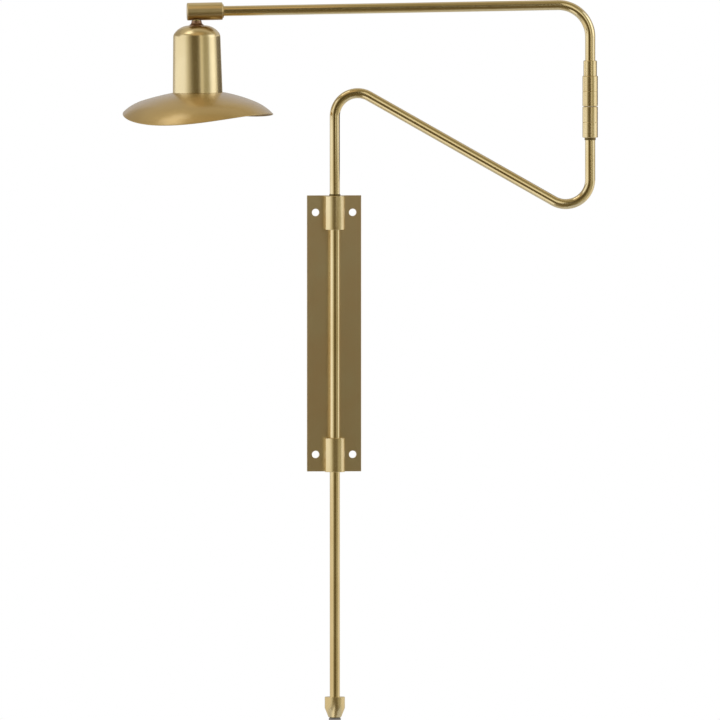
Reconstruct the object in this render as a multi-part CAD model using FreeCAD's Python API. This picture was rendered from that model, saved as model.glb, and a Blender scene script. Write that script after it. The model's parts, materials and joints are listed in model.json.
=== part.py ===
import FreeCAD, Part
import math
import os

# Swing arm wall lamp, in millimetres.
# The origin is the centre of the wall plate's back face. +Z is up, the wall lies behind on +Y,
# the room is in front on -Y, and the lower arm reaches out to +X.

V = FreeCAD.Vector
RIGHT, BACK, UP = V(1, 0, 0), V(0, 1, 0), V(0, 0, 1)

# Clearances
run_gap = 0.05          # radial, between pieces that turn on each other
seat_gap = 0.02         # radial, between pieces that are fixed in each other
face_gap = 0.05         # between flat faces that slide on each other
free_gap = 0.3          # between moving pieces that don't bear on each other
edge_break = 0.5        # small chamfer on turned and sawn edges

# Wall plate
plate_w = 51.0
plate_h = 260.0
plate_t = 4.0
fixing_hole_d = 7.0
fixing_inset_x = 8.0    # plate's side edge to the middle of a fixing hole
fixing_inset_z = 16.0   # plate's end to the middle of a fixing hole

# Tube and the flex inside it
tube_d = 9.5
tube_wall = 1.0
tube_seat = 11.0        # how far a tube end goes into the sleeve that holds it
flex_d = 4.4

# Collars on the wall plate
collar_d = 19.0
collar_len = 32.0
collar_flat_w = 8.0     # width of the flat where a collar seats on the plate
collar_bush_wall = 1.3
collar_bush_recess = 0.8
collar_screw_d = 4.0
collar_screw_head_d = 7.6
collar_screw_inset = 8.0
collar_screw_land = 0.5  # metal left between a screw's tip and the bush
screw_slot_w = 1.0
screw_slot_depth = 0.8

# Ring that carries the post on the upper collar
stop_ring_proud = 0.5   # how far the ring stands out of the post
stop_ring_h = 1.6
ring_groove = 0.4       # depth of the groove that a ring sits in
ring_mouth = 3.0        # opening of a spring ring

# Post and lower arm
post_corner_z = 242.1   # where the post's line meets the slanted run's line
arm_reach = 240.9       # post line to elbow line
arm_slope_deg = 29.64
post_bend_r = 21.6
elbow_bend_r = 23.0

# Cord gland at the foot of the post
gland_top_z = -342.0
gland_wall = 4.73       # gland's metal round the post
gland_body_len = 10.4
gland_cone_len = 8.9
gland_nose_rim = 1.68   # gland's metal round the grommet at its nose
gland_tube_seat = 9.0
grommet_wall = 1.0
grommet_sleeve_len = 8.0
grommet_groove_step = 0.8
grommet_groove_len = 0.9
grommet_lip_step = 0.7
grommet_lip_len = 2.2
cord_hole_d = 6.4
flex_tail = 4.0         # gland's top face to the flex's lower end

# Elbow: a stack of five rings of equal length round a hollow spindle
elbow_rise = 79.2       # lower arm's corner to the underside of the stack
elbow_ring_len = 14.5
elbow_wall = 1.58       # metal of the upper sleeve round its bushes
elbow_step = 0.9        # how much slimmer the top ring is
elbow_seam = 0.25       # depth of the turned seam between two rings
base_ring_wall = 0.5
base_ring_h = 2.4
spindle_d = 8.6
spindle_wall = 1.2
elbow_bush_wall = 1.3
elbow_bush_apart = 4.7  # space between the two bushes
elbow_bush_recess = 0.8
thrust_washer_inset = 1.15
thrust_washer_t = 0.7
spigot_len = 4.0
spindle_land = 1.2      # spindle left standing above its clip
clip_proud = 1.0
clip_t = 1.2

# Upper arm
arm_rise = 52.8         # top of the elbow to the level run's line
arm_run = 371.4         # elbow line to the shade's own axis
arm_sag_deg = 0.89      # the run hangs a little towards the shade
arm_bend_r = 30.0

# End block, which turns on the upper arm's end
block_wall = 2.38       # metal of the block round its bush
block_edge = 0.8
neck_inset = 8.8        # block's free end to the shade's axis
tilt_seat = 14.5        # how far the arm goes into the block
tilt_bush_wall = 1.1
tilt_bush_back = 1.5    # arm's end to the bush's inner end
tilt_flange_step = 0.5
tilt_flange_t = 1.0
tilt_screw_d = 3.0
tilt_dog_d = 2.0
tilt_groove_back = 3.5  # arm's end to the middle of the groove for the screw
passage_d = 7.2
flex_bend_r = 6.0
flex_lead = 4.1         # straight flex between the arm's end and the bend

# Neck and cup
nipple_d = 8.0
nipple_wall = 1.1
nipple_bite = 3.0
neck_collar_h = 4.45
neck_collar_upright = 0.8
neck_collar_land = 0.5
neck_collar_wall = 0.7
neck_collar_flare = 2.1
cup_crown_rim = 0.15    # flat left on the cup's crown outside the collar
cup_crown_h = 10.9
cup_shoulder_r = 6.4
cup_room = 2.0          # between the cup and the lampholder
cup_flare = 1.2         # how much wider the cup is at its foot
cup_wall_h = 52.35
cup_t = 1.2
swivel_washer_t = 0.8
locknut_flats = 13.0
locknut_h = 4.0

# Shade: a dish with a lip, whose brim rises and falls twice round the rim and hangs lower on one side
shade_d = 141.9
shade_t = 1.0
shade_seat_rim = 0.9    # flat seat left outside the cup's foot
shade_dome_r = 133.0
shade_lip_w = 17.0
shade_lip_r = 50.5
brim_wave = 4.5
brim_high_deg = -39.6   # direction of one high side, from +X towards +Y
brim_waves = 2
brim_dip = 3.0          # how far the low side hangs below the brim's mean level
brim_low_deg = -70.5    # direction of the low side
brim_points = 24
brim_rings = 7

# Lampholder for a 27 mm screw cap
holder_nut_gap = 1.5
holder_cap_h = 22.0
holder_cap_step = 0.6    # how much slimmer the cap is than the body
holder_cap_boss_d = 16.0
holder_cap_boss_h = 7.0
holder_cap_slope_h = 7.0
holder_cap_t = 2.0
holder_spigot_len = 4.0
holder_wall = 4.95
holder_flange_room = 1.1  # between the flange and the cup
holder_flange_t = 1.2
holder_skirt_len = 12.0
holder_mouth = 2.0      # skirt's end to the screw shell
screw_shell_d = 26.6
screw_shell_len = 25.0
screw_shell_t = 0.45
screw_shell_hole_d = 18.0
shell_room = 0.3
insert_drop = 2.1       # cap's lower edge to the insert's top
terminal_screw_d = 3.0
terminal_head_d = 4.6
terminal_head_h = 2.2
terminal_shank = 4.0
terminal_spread = 16.0
contact_w = 5.0
contact_t = 0.6
contact_foot = 3.0
contact_reach = 12.0
contact_lift = 3.5
shade_ring_inset = 0.4
shade_ring_h = 6.0
shade_ring_notch_d = 4.0
shade_ring_notches = 16

# Worked out from the sizes above
tube_r = tube_d / 2
bore_r = tube_r - tube_wall
flex_r = flex_d / 2
collar_r = collar_d / 2
collar_seat = math.sqrt(collar_r ** 2 - (collar_flat_w / 2) ** 2)
post_y = -plate_t - collar_seat
collar_bush_r = tube_r + run_gap + collar_bush_wall
collar_screw_bite = collar_seat - collar_bush_r - seat_gap - collar_screw_land
stop_ring_z = plate_h / 2 + face_gap
gland_r = tube_r + seat_gap + gland_wall
cord_hole_r = cord_hole_d / 2
grommet_sleeve_r = cord_hole_r + grommet_wall
grommet_groove_r = grommet_sleeve_r + grommet_groove_step
grommet_lip_r = grommet_groove_r + grommet_lip_step
gland_nose_r = grommet_sleeve_r + seat_gap + gland_nose_rim
gland_nose_z = gland_top_z - gland_body_len - gland_cone_len
slope = math.radians(arm_slope_deg)
elbow_corner_z = post_corner_z - arm_reach * math.tan(slope)
elbow_z = elbow_corner_z + elbow_rise
split_z = elbow_z + 2 * elbow_ring_len
upper_sleeve_z = split_z + thrust_washer_t + face_gap
ferrule_z = elbow_z + 4 * elbow_ring_len
elbow_top_z = elbow_z + 5 * elbow_ring_len
spindle_r = spindle_d / 2
spindle_bore_r = spindle_r - spindle_wall
elbow_bush_r = spindle_r + run_gap + elbow_bush_wall
elbow_r = elbow_bush_r + seat_gap + elbow_wall
spindle_top_z = ferrule_z - spigot_len - free_gap
clip_z = spindle_top_z - spindle_land - clip_t
elbow_bush_z = upper_sleeve_z + elbow_bush_recess
elbow_bush_top_z = clip_z - face_gap
elbow_bush_len = (elbow_bush_top_z - elbow_bush_z - elbow_bush_apart) / 2
arm_corner_z = elbow_top_z + arm_rise
tilt_bush_r = tube_r + run_gap + tilt_bush_wall
block_r = tilt_bush_r + seat_gap + block_wall
arm_end = flex_bend_r + flex_lead
block_mouth = arm_end + tilt_seat
nipple_r = nipple_d / 2
nipple_bore_r = nipple_r - nipple_wall
neck_collar_r = nipple_r + run_gap + neck_collar_wall
neck_collar_foot_r = neck_collar_r + neck_collar_flare
cup_crown_r = neck_collar_foot_r + cup_crown_rim
shell_r = screw_shell_d / 2 + screw_shell_t
holder_bore_r = shell_r + shell_room
holder_body_r = holder_bore_r + holder_wall
holder_cap_r = holder_body_r - holder_cap_step
cup_top_r = holder_body_r + cup_room + cup_t
cup_foot_r = cup_top_r + cup_flare
holder_flange_r = cup_foot_r - cup_t - holder_flange_room
shade_seat_r = cup_foot_r + shade_seat_rim
shade_rim_r = shade_d / 2
shade_ring_r = shade_seat_r - shade_ring_inset
crown_z = -block_r - free_gap - neck_collar_h
shoulder_z = crown_z - cup_crown_h
foot_z = shoulder_z - cup_wall_h
washer_z = crown_z - cup_t - swivel_washer_t
locknut_z = washer_z - face_gap - locknut_h
holder_top_z = locknut_z - holder_nut_gap
holder_cap_z = holder_top_z - holder_cap_h
nipple_foot_z = holder_top_z - holder_cap_boss_h
flange_z = foot_z + face_gap
skirt_z = foot_z - holder_skirt_len
shell_z = skirt_z + holder_mouth
insert_z = shell_z + screw_shell_len
insert_top_z = holder_cap_z - insert_drop
contact_pocket_r = math.hypot(contact_reach, contact_w) / 2 + free_gap
contact_pocket_h = contact_lift + contact_t
shade_ring_top_z = foot_z - shade_t - face_gap

POST = V(0, post_y, 0)
ELBOW = V(arm_reach, post_y, 0)
ARM_CORNER = V(arm_reach, post_y, arm_corner_z)
HEAD = V(arm_reach - arm_run, post_y, arm_corner_z)


def pipe(r_out, r_in, z0, z1, at=V(0, 0, 0)):
    """A round sleeve on a vertical line, from z0 up to z1."""
    outer = Part.makeCylinder(r_out, z1 - z0, at + UP * z0)
    return outer.cut(Part.makeCylinder(r_in, z1 - z0, at + UP * z0))


def turned(points, at=V(0, 0, 0)):
    """A turned piece: an outline of (radius, height) points spun about a vertical line."""
    corners = [at + V(r, 0, z) for r, z in points]
    return Part.Face(Part.makePolygon(corners + corners[:1])).revolve(at, UP, 360)


def bush(r_out, r_in, z0, z1, at):
    """A plain bearing bush with broken outer edges."""
    e = edge_break / 2
    return turned([(r_in, z0), (r_out - e, z0), (r_out, z0 + e), (r_out, z1 - e),
                   (r_out - e, z1), (r_in, z1)], at)


def spring_ring(r_out, r_in, z0, z1, at):
    """A ring that opens at the back, so that it can be sprung into its groove."""
    mouth = Part.makeBox(ring_mouth, r_out, z1 - z0, at + V(-ring_mouth / 2, 0, z0))
    return pipe(r_out, r_in, z0, z1, at).cut(mouth)


def cross_section(r_out, r_in, at, along):
    """The flat ring, or disc where r_in is 0, that a tube shows when it is sawn across."""
    disc = Part.Face(Part.Wire(Part.makeCircle(r_out, at, along)))
    if not r_in:
        return disc
    return disc.cut(Part.Face(Part.Wire(Part.makeCircle(r_in, at, along)))).Faces[0]


def bent_tube(points, bends, r_out, r_in=0.0):
    """A tube of straight runs joined by round bends, one bend radius for each inner point."""
    pieces = []
    start = points[0]
    for before, corner, after, bend in zip(points, points[1:], points[2:], bends):
        into = (corner - before).normalize()
        out = (after - corner).normalize()
        turn = into.getAngle(out)
        reach = bend * math.tan(turn / 2)
        first, last = corner - into * reach, corner + out * reach
        inward = (out - into * into.dot(out)).normalize()
        pieces.append(cross_section(r_out, r_in, start, into).extrude(first - start))
        bent = cross_section(r_out, r_in, first, into)
        pieces.append(bent.revolve(first + inward * bend, into.cross(inward), math.degrees(turn)))
        start = last
    pieces.append(cross_section(r_out, r_in, start, points[-1] - start).extrude(points[-1] - start))
    return pieces[0].fuse(pieces[1:]).removeSplitter()


def head_place(shape):
    """Carry a piece from the head's own frame to its place at the end of the sagging arm."""
    placed = shape.copy()
    placed.translate(HEAD)
    placed.rotate(ARM_CORNER, BACK, -arm_sag_deg)
    return placed


def along_arm(x, z=0.0):
    """A point of the head's own frame, carried to its place."""
    return head_place(Part.Vertex(x, 0, z)).Point


def wall_plate():
    plate = Part.makeBox(plate_w, plate_t, plate_h, V(-plate_w / 2, -plate_t, -plate_h / 2))
    front = [e for e in plate.Edges if e.BoundBox.YMax < -plate_t / 2]
    plate = plate.makeChamfer(edge_break, front)
    side, end = plate_w / 2 - fixing_inset_x, plate_h / 2 - fixing_inset_z
    for x in (-side, side):
        for z in (-end, end):
            plate = plate.cut(Part.makeCylinder(fixing_hole_d / 2, plate_t, V(x, 0, z), -BACK))
    for z in collar_screw_heights():
        plate = plate.cut(collar_screw_form(z, seat_gap))
    return plate


def collar_screw_heights():
    """Heights of the screws that hold the collars, two to each collar."""
    inner = plate_h / 2 - collar_len + collar_screw_inset
    outer = plate_h / 2 - collar_screw_inset
    return [-outer, -inner, inner, outer]


def collar_screw_form(z, grow=0.0):
    """A countersunk screw driven from the plate's back face, or with grow the hole for it."""
    shank_r = collar_screw_d / 2 + grow
    head_r = collar_screw_head_d / 2 + grow
    tip = plate_t + collar_screw_bite + grow
    outline = [(0, 0), (head_r, 0), (shank_r, head_r - shank_r), (shank_r, tip), (0, tip)]
    screw = turned(outline)
    screw.rotate(V(0, 0, 0), RIGHT, 90)
    screw.translate(UP * z)
    return screw


def collar_screws():
    screws = []
    for z in collar_screw_heights():
        slot = Part.makeBox(collar_screw_head_d, screw_slot_depth, screw_slot_w)
        slot.translate(V(-collar_screw_head_d / 2, -screw_slot_depth, z - screw_slot_w / 2))
        screws.append(collar_screw_form(z).cut(slot))
    return Part.makeCompound(screws)


def collar(z0):
    """One round collar, flattened where it seats on the plate and bored for its bush."""
    z1 = z0 + collar_len
    e, bore = edge_break, collar_bush_r + seat_gap
    piece = turned([(bore, z0), (collar_r - e, z0), (collar_r, z0 + e), (collar_r, z1 - e),
                    (collar_r - e, z1), (bore, z1)], POST)
    piece = piece.cut(Part.makeBox(collar_d, collar_d, collar_len, V(-collar_r, -plate_t, z0)))
    for z in collar_screw_heights():
        if z0 < z < z1:
            piece = piece.cut(collar_screw_form(z, seat_gap))
    return piece


def collar_bush(z0):
    """The bearing bush inside one collar, set back a little from both ends."""
    lift = collar_bush_recess
    return bush(collar_bush_r, tube_r + run_gap, z0 + lift, z0 + collar_len - lift, POST)


def lower_arm_line(first_z, last_z):
    """The line of the post, the slanted run and the upturned end."""
    return [POST + UP * first_z, POST + UP * post_corner_z,
            ELBOW + UP * elbow_corner_z, ELBOW + UP * last_z]


def lower_arm_tube():
    ends = lower_arm_line(gland_top_z - gland_tube_seat, elbow_z + tube_seat)
    tube = bent_tube(ends, [post_bend_r, elbow_bend_r], tube_r, bore_r)
    z = stop_ring_z
    return tube.cut(pipe(tube_r + free_gap, tube_r - ring_groove, z, z + stop_ring_h, POST))


def post_stop_ring():
    z, groove_r = stop_ring_z, tube_r - ring_groove
    return spring_ring(tube_r + stop_ring_proud, groove_r + seat_gap, z, z + stop_ring_h, POST)


def lower_flex():
    ends = lower_arm_line(gland_top_z - flex_tail, split_z)
    return bent_tube(ends, [post_bend_r, elbow_bend_r], flex_r)


def cord_gland():
    top, r, e = gland_top_z, gland_r, edge_break
    shelf = top - gland_tube_seat
    tube_bore, grommet_bore = tube_r + seat_gap, grommet_sleeve_r + seat_gap
    return turned([(tube_bore, top), (r - e, top), (r, top - e), (r, top - gland_body_len),
                   (gland_nose_r, gland_nose_z), (grommet_bore, gland_nose_z),
                   (grommet_bore, shelf), (tube_bore, shelf)], POST)


def gland_grommet():
    """The soft bush in the gland's nose, with a groove and a lip below it."""
    nose, bore, sleeve = gland_nose_z, cord_hole_r, grommet_sleeve_r
    top, groove_end = nose + grommet_sleeve_len, nose - grommet_groove_len
    groove, lip, e = grommet_groove_r, grommet_lip_r, edge_break
    foot = groove_end - grommet_lip_len
    return turned([(bore, top), (sleeve, top), (sleeve, nose), (groove, nose), (groove, groove_end),
                   (lip, groove_end), (lip, foot + e), (lip - e, foot), (bore, foot)], POST)


def ring_stack(r, bore, z0, z1, seams):
    """A turned sleeve with broken ends and a seam cut round it at each given height."""
    e = edge_break
    outside = [(r - e, z0), (r, z0 + e)]
    for z in seams:
        outside += [(r, z - elbow_seam), (r - elbow_seam, z), (r, z + elbow_seam)]
    return [(bore, z0)] + outside + [(r, z1 - e), (r - e, z1), (bore, z1)]


def elbow_base_ring():
    e = edge_break / 2
    bore, z0 = tube_r + seat_gap, elbow_z - base_ring_h
    r = bore + base_ring_wall
    return turned([(bore, z0), (r - e, z0), (r, z0 + e), (r, elbow_z), (bore, elbow_z)], ELBOW)


def elbow_lower_sleeve():
    seat = elbow_z + tube_seat
    outline = ring_stack(elbow_r, tube_r + seat_gap, elbow_z, split_z, [elbow_z + elbow_ring_len])
    spindle_bore = spindle_r + seat_gap
    outline[-1] = (spindle_bore, split_z)
    return turned(outline + [(spindle_bore, seat), (tube_r + seat_gap, seat)], ELBOW)


def elbow_spindle():
    seat = elbow_z + tube_seat
    spindle = pipe(spindle_r, spindle_bore_r, seat, spindle_top_z, ELBOW)
    groove_r = spindle_r - ring_groove
    return spindle.cut(pipe(spindle_r + free_gap, groove_r, clip_z, clip_z + clip_t, ELBOW))


def spindle_clip():
    groove_r = spindle_r - ring_groove
    return spring_ring(spindle_r + clip_proud, groove_r + seat_gap, clip_z, clip_z + clip_t, ELBOW)


def elbow_thrust_washer():
    r = elbow_r - thrust_washer_inset
    return pipe(r, spindle_r + seat_gap, split_z, split_z + thrust_washer_t, ELBOW)


def elbow_upper_sleeve():
    seam = elbow_z + 3 * elbow_ring_len
    return turned(ring_stack(elbow_r, elbow_bush_r + seat_gap, upper_sleeve_z, ferrule_z, [seam]), ELBOW)


def elbow_bush_lower():
    z0 = elbow_bush_z
    return bush(elbow_bush_r, spindle_r + run_gap, z0, z0 + elbow_bush_len, ELBOW)


def elbow_bush_upper():
    z1 = elbow_bush_top_z
    return bush(elbow_bush_r, spindle_r + run_gap, z1 - elbow_bush_len, z1, ELBOW)


def elbow_ferrule():
    seat = elbow_top_z - tube_seat
    spigot = elbow_bush_r
    passage, bore = spindle_bore_r, tube_r + seat_gap
    outline = ring_stack(elbow_r - elbow_step, passage, ferrule_z, elbow_top_z, [])
    outline[-1] = (bore, elbow_top_z)
    foot = ferrule_z - spigot_len
    return turned([(passage, foot), (spigot, foot), (spigot, ferrule_z)] + outline[1:]
                  + [(bore, seat), (passage, seat)], ELBOW)


def upper_arm_line(first_z):
    """The line of the upright above the elbow and the run that reaches back to the shade."""
    return [ELBOW + UP * first_z, ARM_CORNER, along_arm(arm_end)]


def arm_groove(r_in):
    """The ring of metal turned off near the arm's end, where the tilt screw's point runs."""
    groove_w = tilt_dog_d + 2 * run_gap
    middle = arm_end + tilt_groove_back
    outer = Part.makeCylinder(tube_r + free_gap, groove_w, V(middle - groove_w / 2, 0, 0), RIGHT)
    return head_place(outer.cut(Part.makeCylinder(r_in, groove_w, V(middle - groove_w / 2, 0, 0), RIGHT)))


def upper_arm_tube():
    tube = bent_tube(upper_arm_line(elbow_top_z - tube_seat), [arm_bend_r], tube_r, bore_r)
    return tube.cut(arm_groove(tube_r - ring_groove))


def upper_flex():
    return bent_tube(upper_arm_line(split_z), [arm_bend_r], flex_r)


def across(points):
    """A piece turned about the block's own level line, from (radius, distance along) points."""
    piece = turned(points)
    piece.rotate(V(0, 0, 0), BACK, 90)
    return piece


def tilt_screw_form(top, grow=0.0):
    """The dog point screw in the block's back, or with grow the hole for it, out to a given height."""
    r, dog = tilt_screw_d / 2 + grow, tilt_dog_d / 2 + grow
    step = tilt_bush_r + 2 * seat_gap
    tip = tube_r - ring_groove + run_gap - grow
    screw = turned([(0, tip), (dog, tip), (dog, step), (r, step), (r, top), (0, top)])
    screw.rotate(V(0, 0, 0), RIGHT, -90)
    screw.translate(V(arm_end + tilt_groove_back, 0, 0))
    return screw


def end_block():
    e, bore, mouth = block_edge, tilt_bush_r + seat_gap, block_mouth
    floor = arm_end - free_gap
    block = across([(0, -neck_inset), (block_r - e, -neck_inset), (block_r, e - neck_inset),
                    (block_r, mouth - e), (block_r - e, mouth), (bore, mouth), (bore, floor), (0, floor)])
    passage_r = passage_d / 2
    passage = Part.makeCylinder(passage_r, floor + passage_r, V(-passage_r, 0, 0), RIGHT)
    neck = Part.makeCylinder(nipple_r + seat_gap, block_r, V(0, 0, -block_r))
    return head_place(block.cut(passage).cut(neck).cut(tilt_screw_form(block_r, seat_gap)))


def tilt_bush():
    """The flanged bush in the block's mouth, which the arm's end turns in."""
    bore, mouth = tube_r + run_gap, block_mouth
    foot, rim = arm_end + tilt_bush_back, mouth + tilt_flange_t
    flange, e = tilt_bush_r + tilt_flange_step, edge_break / 2
    piece = across([(bore, foot), (tilt_bush_r, foot), (tilt_bush_r, mouth), (flange, mouth),
                    (flange, rim - e), (flange - e, rim), (bore, rim)])
    return head_place(piece.cut(tilt_screw_form(block_r, seat_gap)))


def tilt_screw():
    return head_place(tilt_screw_form(block_r - edge_break))


def neck_nipple():
    return head_place(pipe(nipple_r, nipple_bore_r, nipple_foot_z, nipple_bite - block_r))


def head_flex():
    ends = [V(arm_end, 0, 0), V(0, 0, 0), V(0, 0, insert_top_z)]
    return head_place(bent_tube(ends, [flex_bend_r], flex_r))


def neck_collar():
    """The flared ring between the block and the cup, hollowed to a smooth cove."""
    top_z, bore = crown_z + neck_collar_h, nipple_r + run_gap
    top_r, base_r = neck_collar_r, neck_collar_foot_r
    upright, land = top_z - neck_collar_upright, crown_z + neck_collar_land
    flare, fall = neck_collar_flare, upright - land
    cove_r = (flare ** 2 + fall ** 2) / (2 * flare)
    half = math.asin(fall / cove_r) / 2
    middle = V(top_r + cove_r * (1 - math.cos(half)), 0, upright - cove_r * math.sin(half))
    cove = Part.Arc(V(top_r, 0, upright), middle, V(base_r, 0, land)).toShape()
    rest = Part.makePolygon([V(base_r, 0, land), V(base_r, 0, crown_z), V(bore, 0, crown_z),
                             V(bore, 0, top_z), V(top_r, 0, top_z), V(top_r, 0, upright)])
    return head_place(Part.Face(Part.Wire([cove] + rest.Edges)).revolve(V(0, 0, 0), UP, 360))


def cup_side(inset):
    """The cup's outline from its crown to its foot, moved in by the wall's thickness for the inside."""
    span = cup_top_r - cup_shoulder_r - cup_crown_r
    big = (span ** 2 + cup_crown_h ** 2 - cup_shoulder_r ** 2) / (2 * (cup_crown_h - cup_shoulder_r))
    big_at = V(cup_crown_r, 0, crown_z - big)
    small_at = V(cup_top_r - cup_shoulder_r, 0, shoulder_z)
    lean = math.atan2(small_at.x - big_at.x, small_at.z - big_at.z)

    def spot(centre, radius, angle):
        return centre + V(math.sin(angle), 0, math.cos(angle)) * (radius - inset)

    crown = spot(big_at, big, 0)
    meet = spot(big_at, big, lean)
    shoulder = spot(small_at, cup_shoulder_r, math.pi / 2)
    halfway = (lean + math.pi / 2) / 2
    return [Part.Arc(crown, spot(big_at, big, lean / 2), meet).toShape(),
            Part.Arc(meet, spot(small_at, cup_shoulder_r, halfway), shoulder).toShape(),
            Part.makeLine(shoulder, V(cup_foot_r - inset, 0, foot_z))]


def cup():
    outside, inside = cup_side(0.0), cup_side(cup_t)
    bore = nipple_r + free_gap
    crown = Part.makePolygon([outside[0].Vertexes[0].Point, V(bore, 0, crown_z),
                              V(bore, 0, crown_z - cup_t), inside[0].Vertexes[0].Point])
    foot = Part.makeLine(outside[-1].Vertexes[-1].Point, inside[-1].Vertexes[-1].Point)
    wire = Part.Wire(Part.__sortEdges__(outside + inside + crown.Edges + [foot]))
    return head_place(Part.Face(wire).revolve(V(0, 0, 0), UP, 360))


def swivel_washer():
    r = cup_crown_r - edge_break
    return head_place(pipe(r, nipple_r + run_gap, washer_z, crown_z - cup_t))


def nipple_locknut():
    """The nut on the nipple that holds the cup up against the block."""
    corner_r = locknut_flats / math.sqrt(3)
    turns = [i * math.pi / 3 for i in range(7)]
    corners = [V(corner_r * math.cos(a), corner_r * math.sin(a), locknut_z) for a in turns]
    nut = Part.Face(Part.makePolygon(corners)).extrude(UP * locknut_h)
    return head_place(nut.cut(Part.makeCylinder(nipple_r + seat_gap, locknut_h, UP * locknut_z)))


def shade_drop(r):
    """How far the shade's skin lies below its seat at a radius, before the brim's wave."""
    turn_r = shade_rim_r - shade_lip_w

    def dome(radius):
        return shade_dome_r - math.sqrt(shade_dome_r ** 2 - radius ** 2)

    if r <= turn_r:
        return dome(r) - dome(shade_seat_r)
    start = math.asin(turn_r / shade_dome_r)
    end = math.asin(turn_r / shade_dome_r + (r - turn_r) / shade_lip_r)
    return dome(turn_r) - dome(shade_seat_r) + shade_lip_r * (math.cos(start) - math.cos(end))


def brim_ring(r, under):
    """One closed ring of the brim at a radius, on the upper skin or on the underside."""
    share = (r - shade_seat_r) / (shade_rim_r - shade_seat_r)
    points = []
    for i in range(brim_points):
        a = 2 * math.pi * i / brim_points
        wave = brim_wave * math.cos(brim_waves * (a - math.radians(brim_high_deg)))
        wave -= brim_dip * math.cos(a - math.radians(brim_low_deg))
        z = foot_z - shade_drop(r) + wave * share ** 2
        if under:
            z -= shade_t * (1 + share ** 2 / 2)
        points.append(V(r * math.cos(a), r * math.sin(a), z))
    curve = Part.BSplineCurve()
    curve.interpolate(Points=points, PeriodicFlag=True)
    return Part.Wire(curve.toShape())


def shade():
    """The thin dish: a flat seat under the cup, then a brim lofted through waving rings."""
    step = (shade_rim_r - shade_seat_r) / (brim_rings - 1)
    radii = [shade_seat_r + step * i for i in range(brim_rings)]
    upper = [brim_ring(r, False) for r in radii]
    lower = [brim_ring(r, True) for r in radii]
    hole = holder_body_r + free_gap
    eye_top = Part.Wire(Part.makeCircle(hole, V(0, 0, foot_z)))
    eye_foot = Part.Wire(Part.makeCircle(hole, V(0, 0, foot_z - shade_t)))
    faces = Part.makeLoft(upper, False, False).Faces + Part.makeLoft(lower, False, False).Faces
    faces += Part.makeLoft([upper[-1], lower[-1]], False, True).Faces
    faces += Part.makeLoft([eye_top, eye_foot], False, True).Faces
    faces.append(Part.makeFace([upper[0], eye_top], "Part::FaceMakerBullseye"))
    faces.append(Part.makeFace([lower[0], eye_foot], "Part::FaceMakerBullseye"))
    skin = Part.makeShell(faces)
    skin.sewShape()
    dish = Part.makeSolid(skin)
    if dish.Volume < 0:
        dish.reverse()
    return head_place(dish)


def shade_ring():
    """The notched ring that screws up the lampholder's skirt and holds the shade."""
    r, e = shade_ring_r, edge_break
    top, foot = shade_ring_top_z, shade_ring_top_z - shade_ring_h
    bore = holder_body_r + seat_gap
    ring = turned([(bore, foot), (r - e, foot), (r, foot + e), (r, top), (bore, top)])
    for i in range(shade_ring_notches):
        a = 2 * math.pi * i / shade_ring_notches
        at = V((r + e) * math.cos(a), (r + e) * math.sin(a), foot)
        ring = ring.cut(Part.makeCylinder(shade_ring_notch_d / 2, shade_ring_h - e, at))
    return head_place(ring)


def lampholder_cap():
    """The dished cap that screws onto the nipple."""
    boss_r, r, t, e = holder_cap_boss_d / 2, holder_cap_r, holder_cap_t, edge_break
    top, boss_z = holder_top_z, nipple_foot_z
    slope_z, foot = boss_z - holder_cap_slope_h, holder_cap_z
    bore = nipple_r + seat_gap
    return head_place(turned([(bore, top), (boss_r - e, top), (boss_r, top - e), (boss_r, boss_z),
                              (r, slope_z), (r, foot), (r - t, foot), (r - t, slope_z - t / 2),
                              (boss_r - t, boss_z - t), (bore, boss_z - t)]))


def lampholder_body():
    """The tubular body: a spigot in the cap, a flange over the shade and a skirt for the ring."""
    r, bore, flange_r, e = holder_body_r, holder_bore_r, holder_flange_r, edge_break
    spigot_r = holder_cap_r - holder_cap_t - seat_gap
    top, flange_top = holder_cap_z + holder_spigot_len, flange_z + holder_flange_t
    return head_place(turned([(bore, top), (spigot_r, top), (spigot_r, holder_cap_z), (r, holder_cap_z),
                              (r, flange_top), (flange_r, flange_top), (flange_r, flange_z), (r, flange_z),
                              (r, skirt_z + e), (r - e, skirt_z), (bore, skirt_z)]))


def terminal_places():
    return [V(x, 0, 0) for x in (-terminal_spread / 2, terminal_spread / 2)]


def lampholder_insert():
    """The porcelain block that carries the contacts, hollowed underneath for the sprung tongue."""
    r, e, top = holder_bore_r - seat_gap, edge_break, insert_top_z
    block = turned([(0, insert_z), (r - e, insert_z), (r, insert_z + e), (r, top - e),
                    (r - e, top), (0, top)])
    block = block.cut(Part.makeCylinder(contact_pocket_r, contact_pocket_h, UP * insert_z))
    for at in terminal_places():
        depth = terminal_shank + seat_gap
        block = block.cut(Part.makeCylinder(terminal_screw_d / 2 + seat_gap, depth, at + UP * (top - depth)))
    return head_place(block)


def terminal_screws():
    shank_r, head_r, top = terminal_screw_d / 2, terminal_head_d / 2, insert_top_z
    tip, head_top = top - terminal_shank, top + terminal_head_h
    screws = []
    for at in terminal_places():
        screw = turned([(0, tip), (shank_r, tip), (shank_r, top), (head_r, top),
                        (head_r, head_top), (0, head_top)], at)
        slot = Part.makeBox(terminal_head_d, screw_slot_w, screw_slot_depth)
        slot.translate(at + V(-head_r, -screw_slot_w / 2, head_top - screw_slot_depth))
        screws.append(screw.cut(slot))
    return head_place(Part.makeCompound(screws))


def screw_shell():
    """The plain form of the threaded shell, with its floor on the insert."""
    r, t, hole = screw_shell_d / 2, screw_shell_t, screw_shell_hole_d / 2
    return head_place(turned([(hole, insert_z), (shell_r, insert_z), (shell_r, shell_z), (r, shell_z),
                              (r, insert_z - t), (hole, insert_z - t)]))


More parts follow.
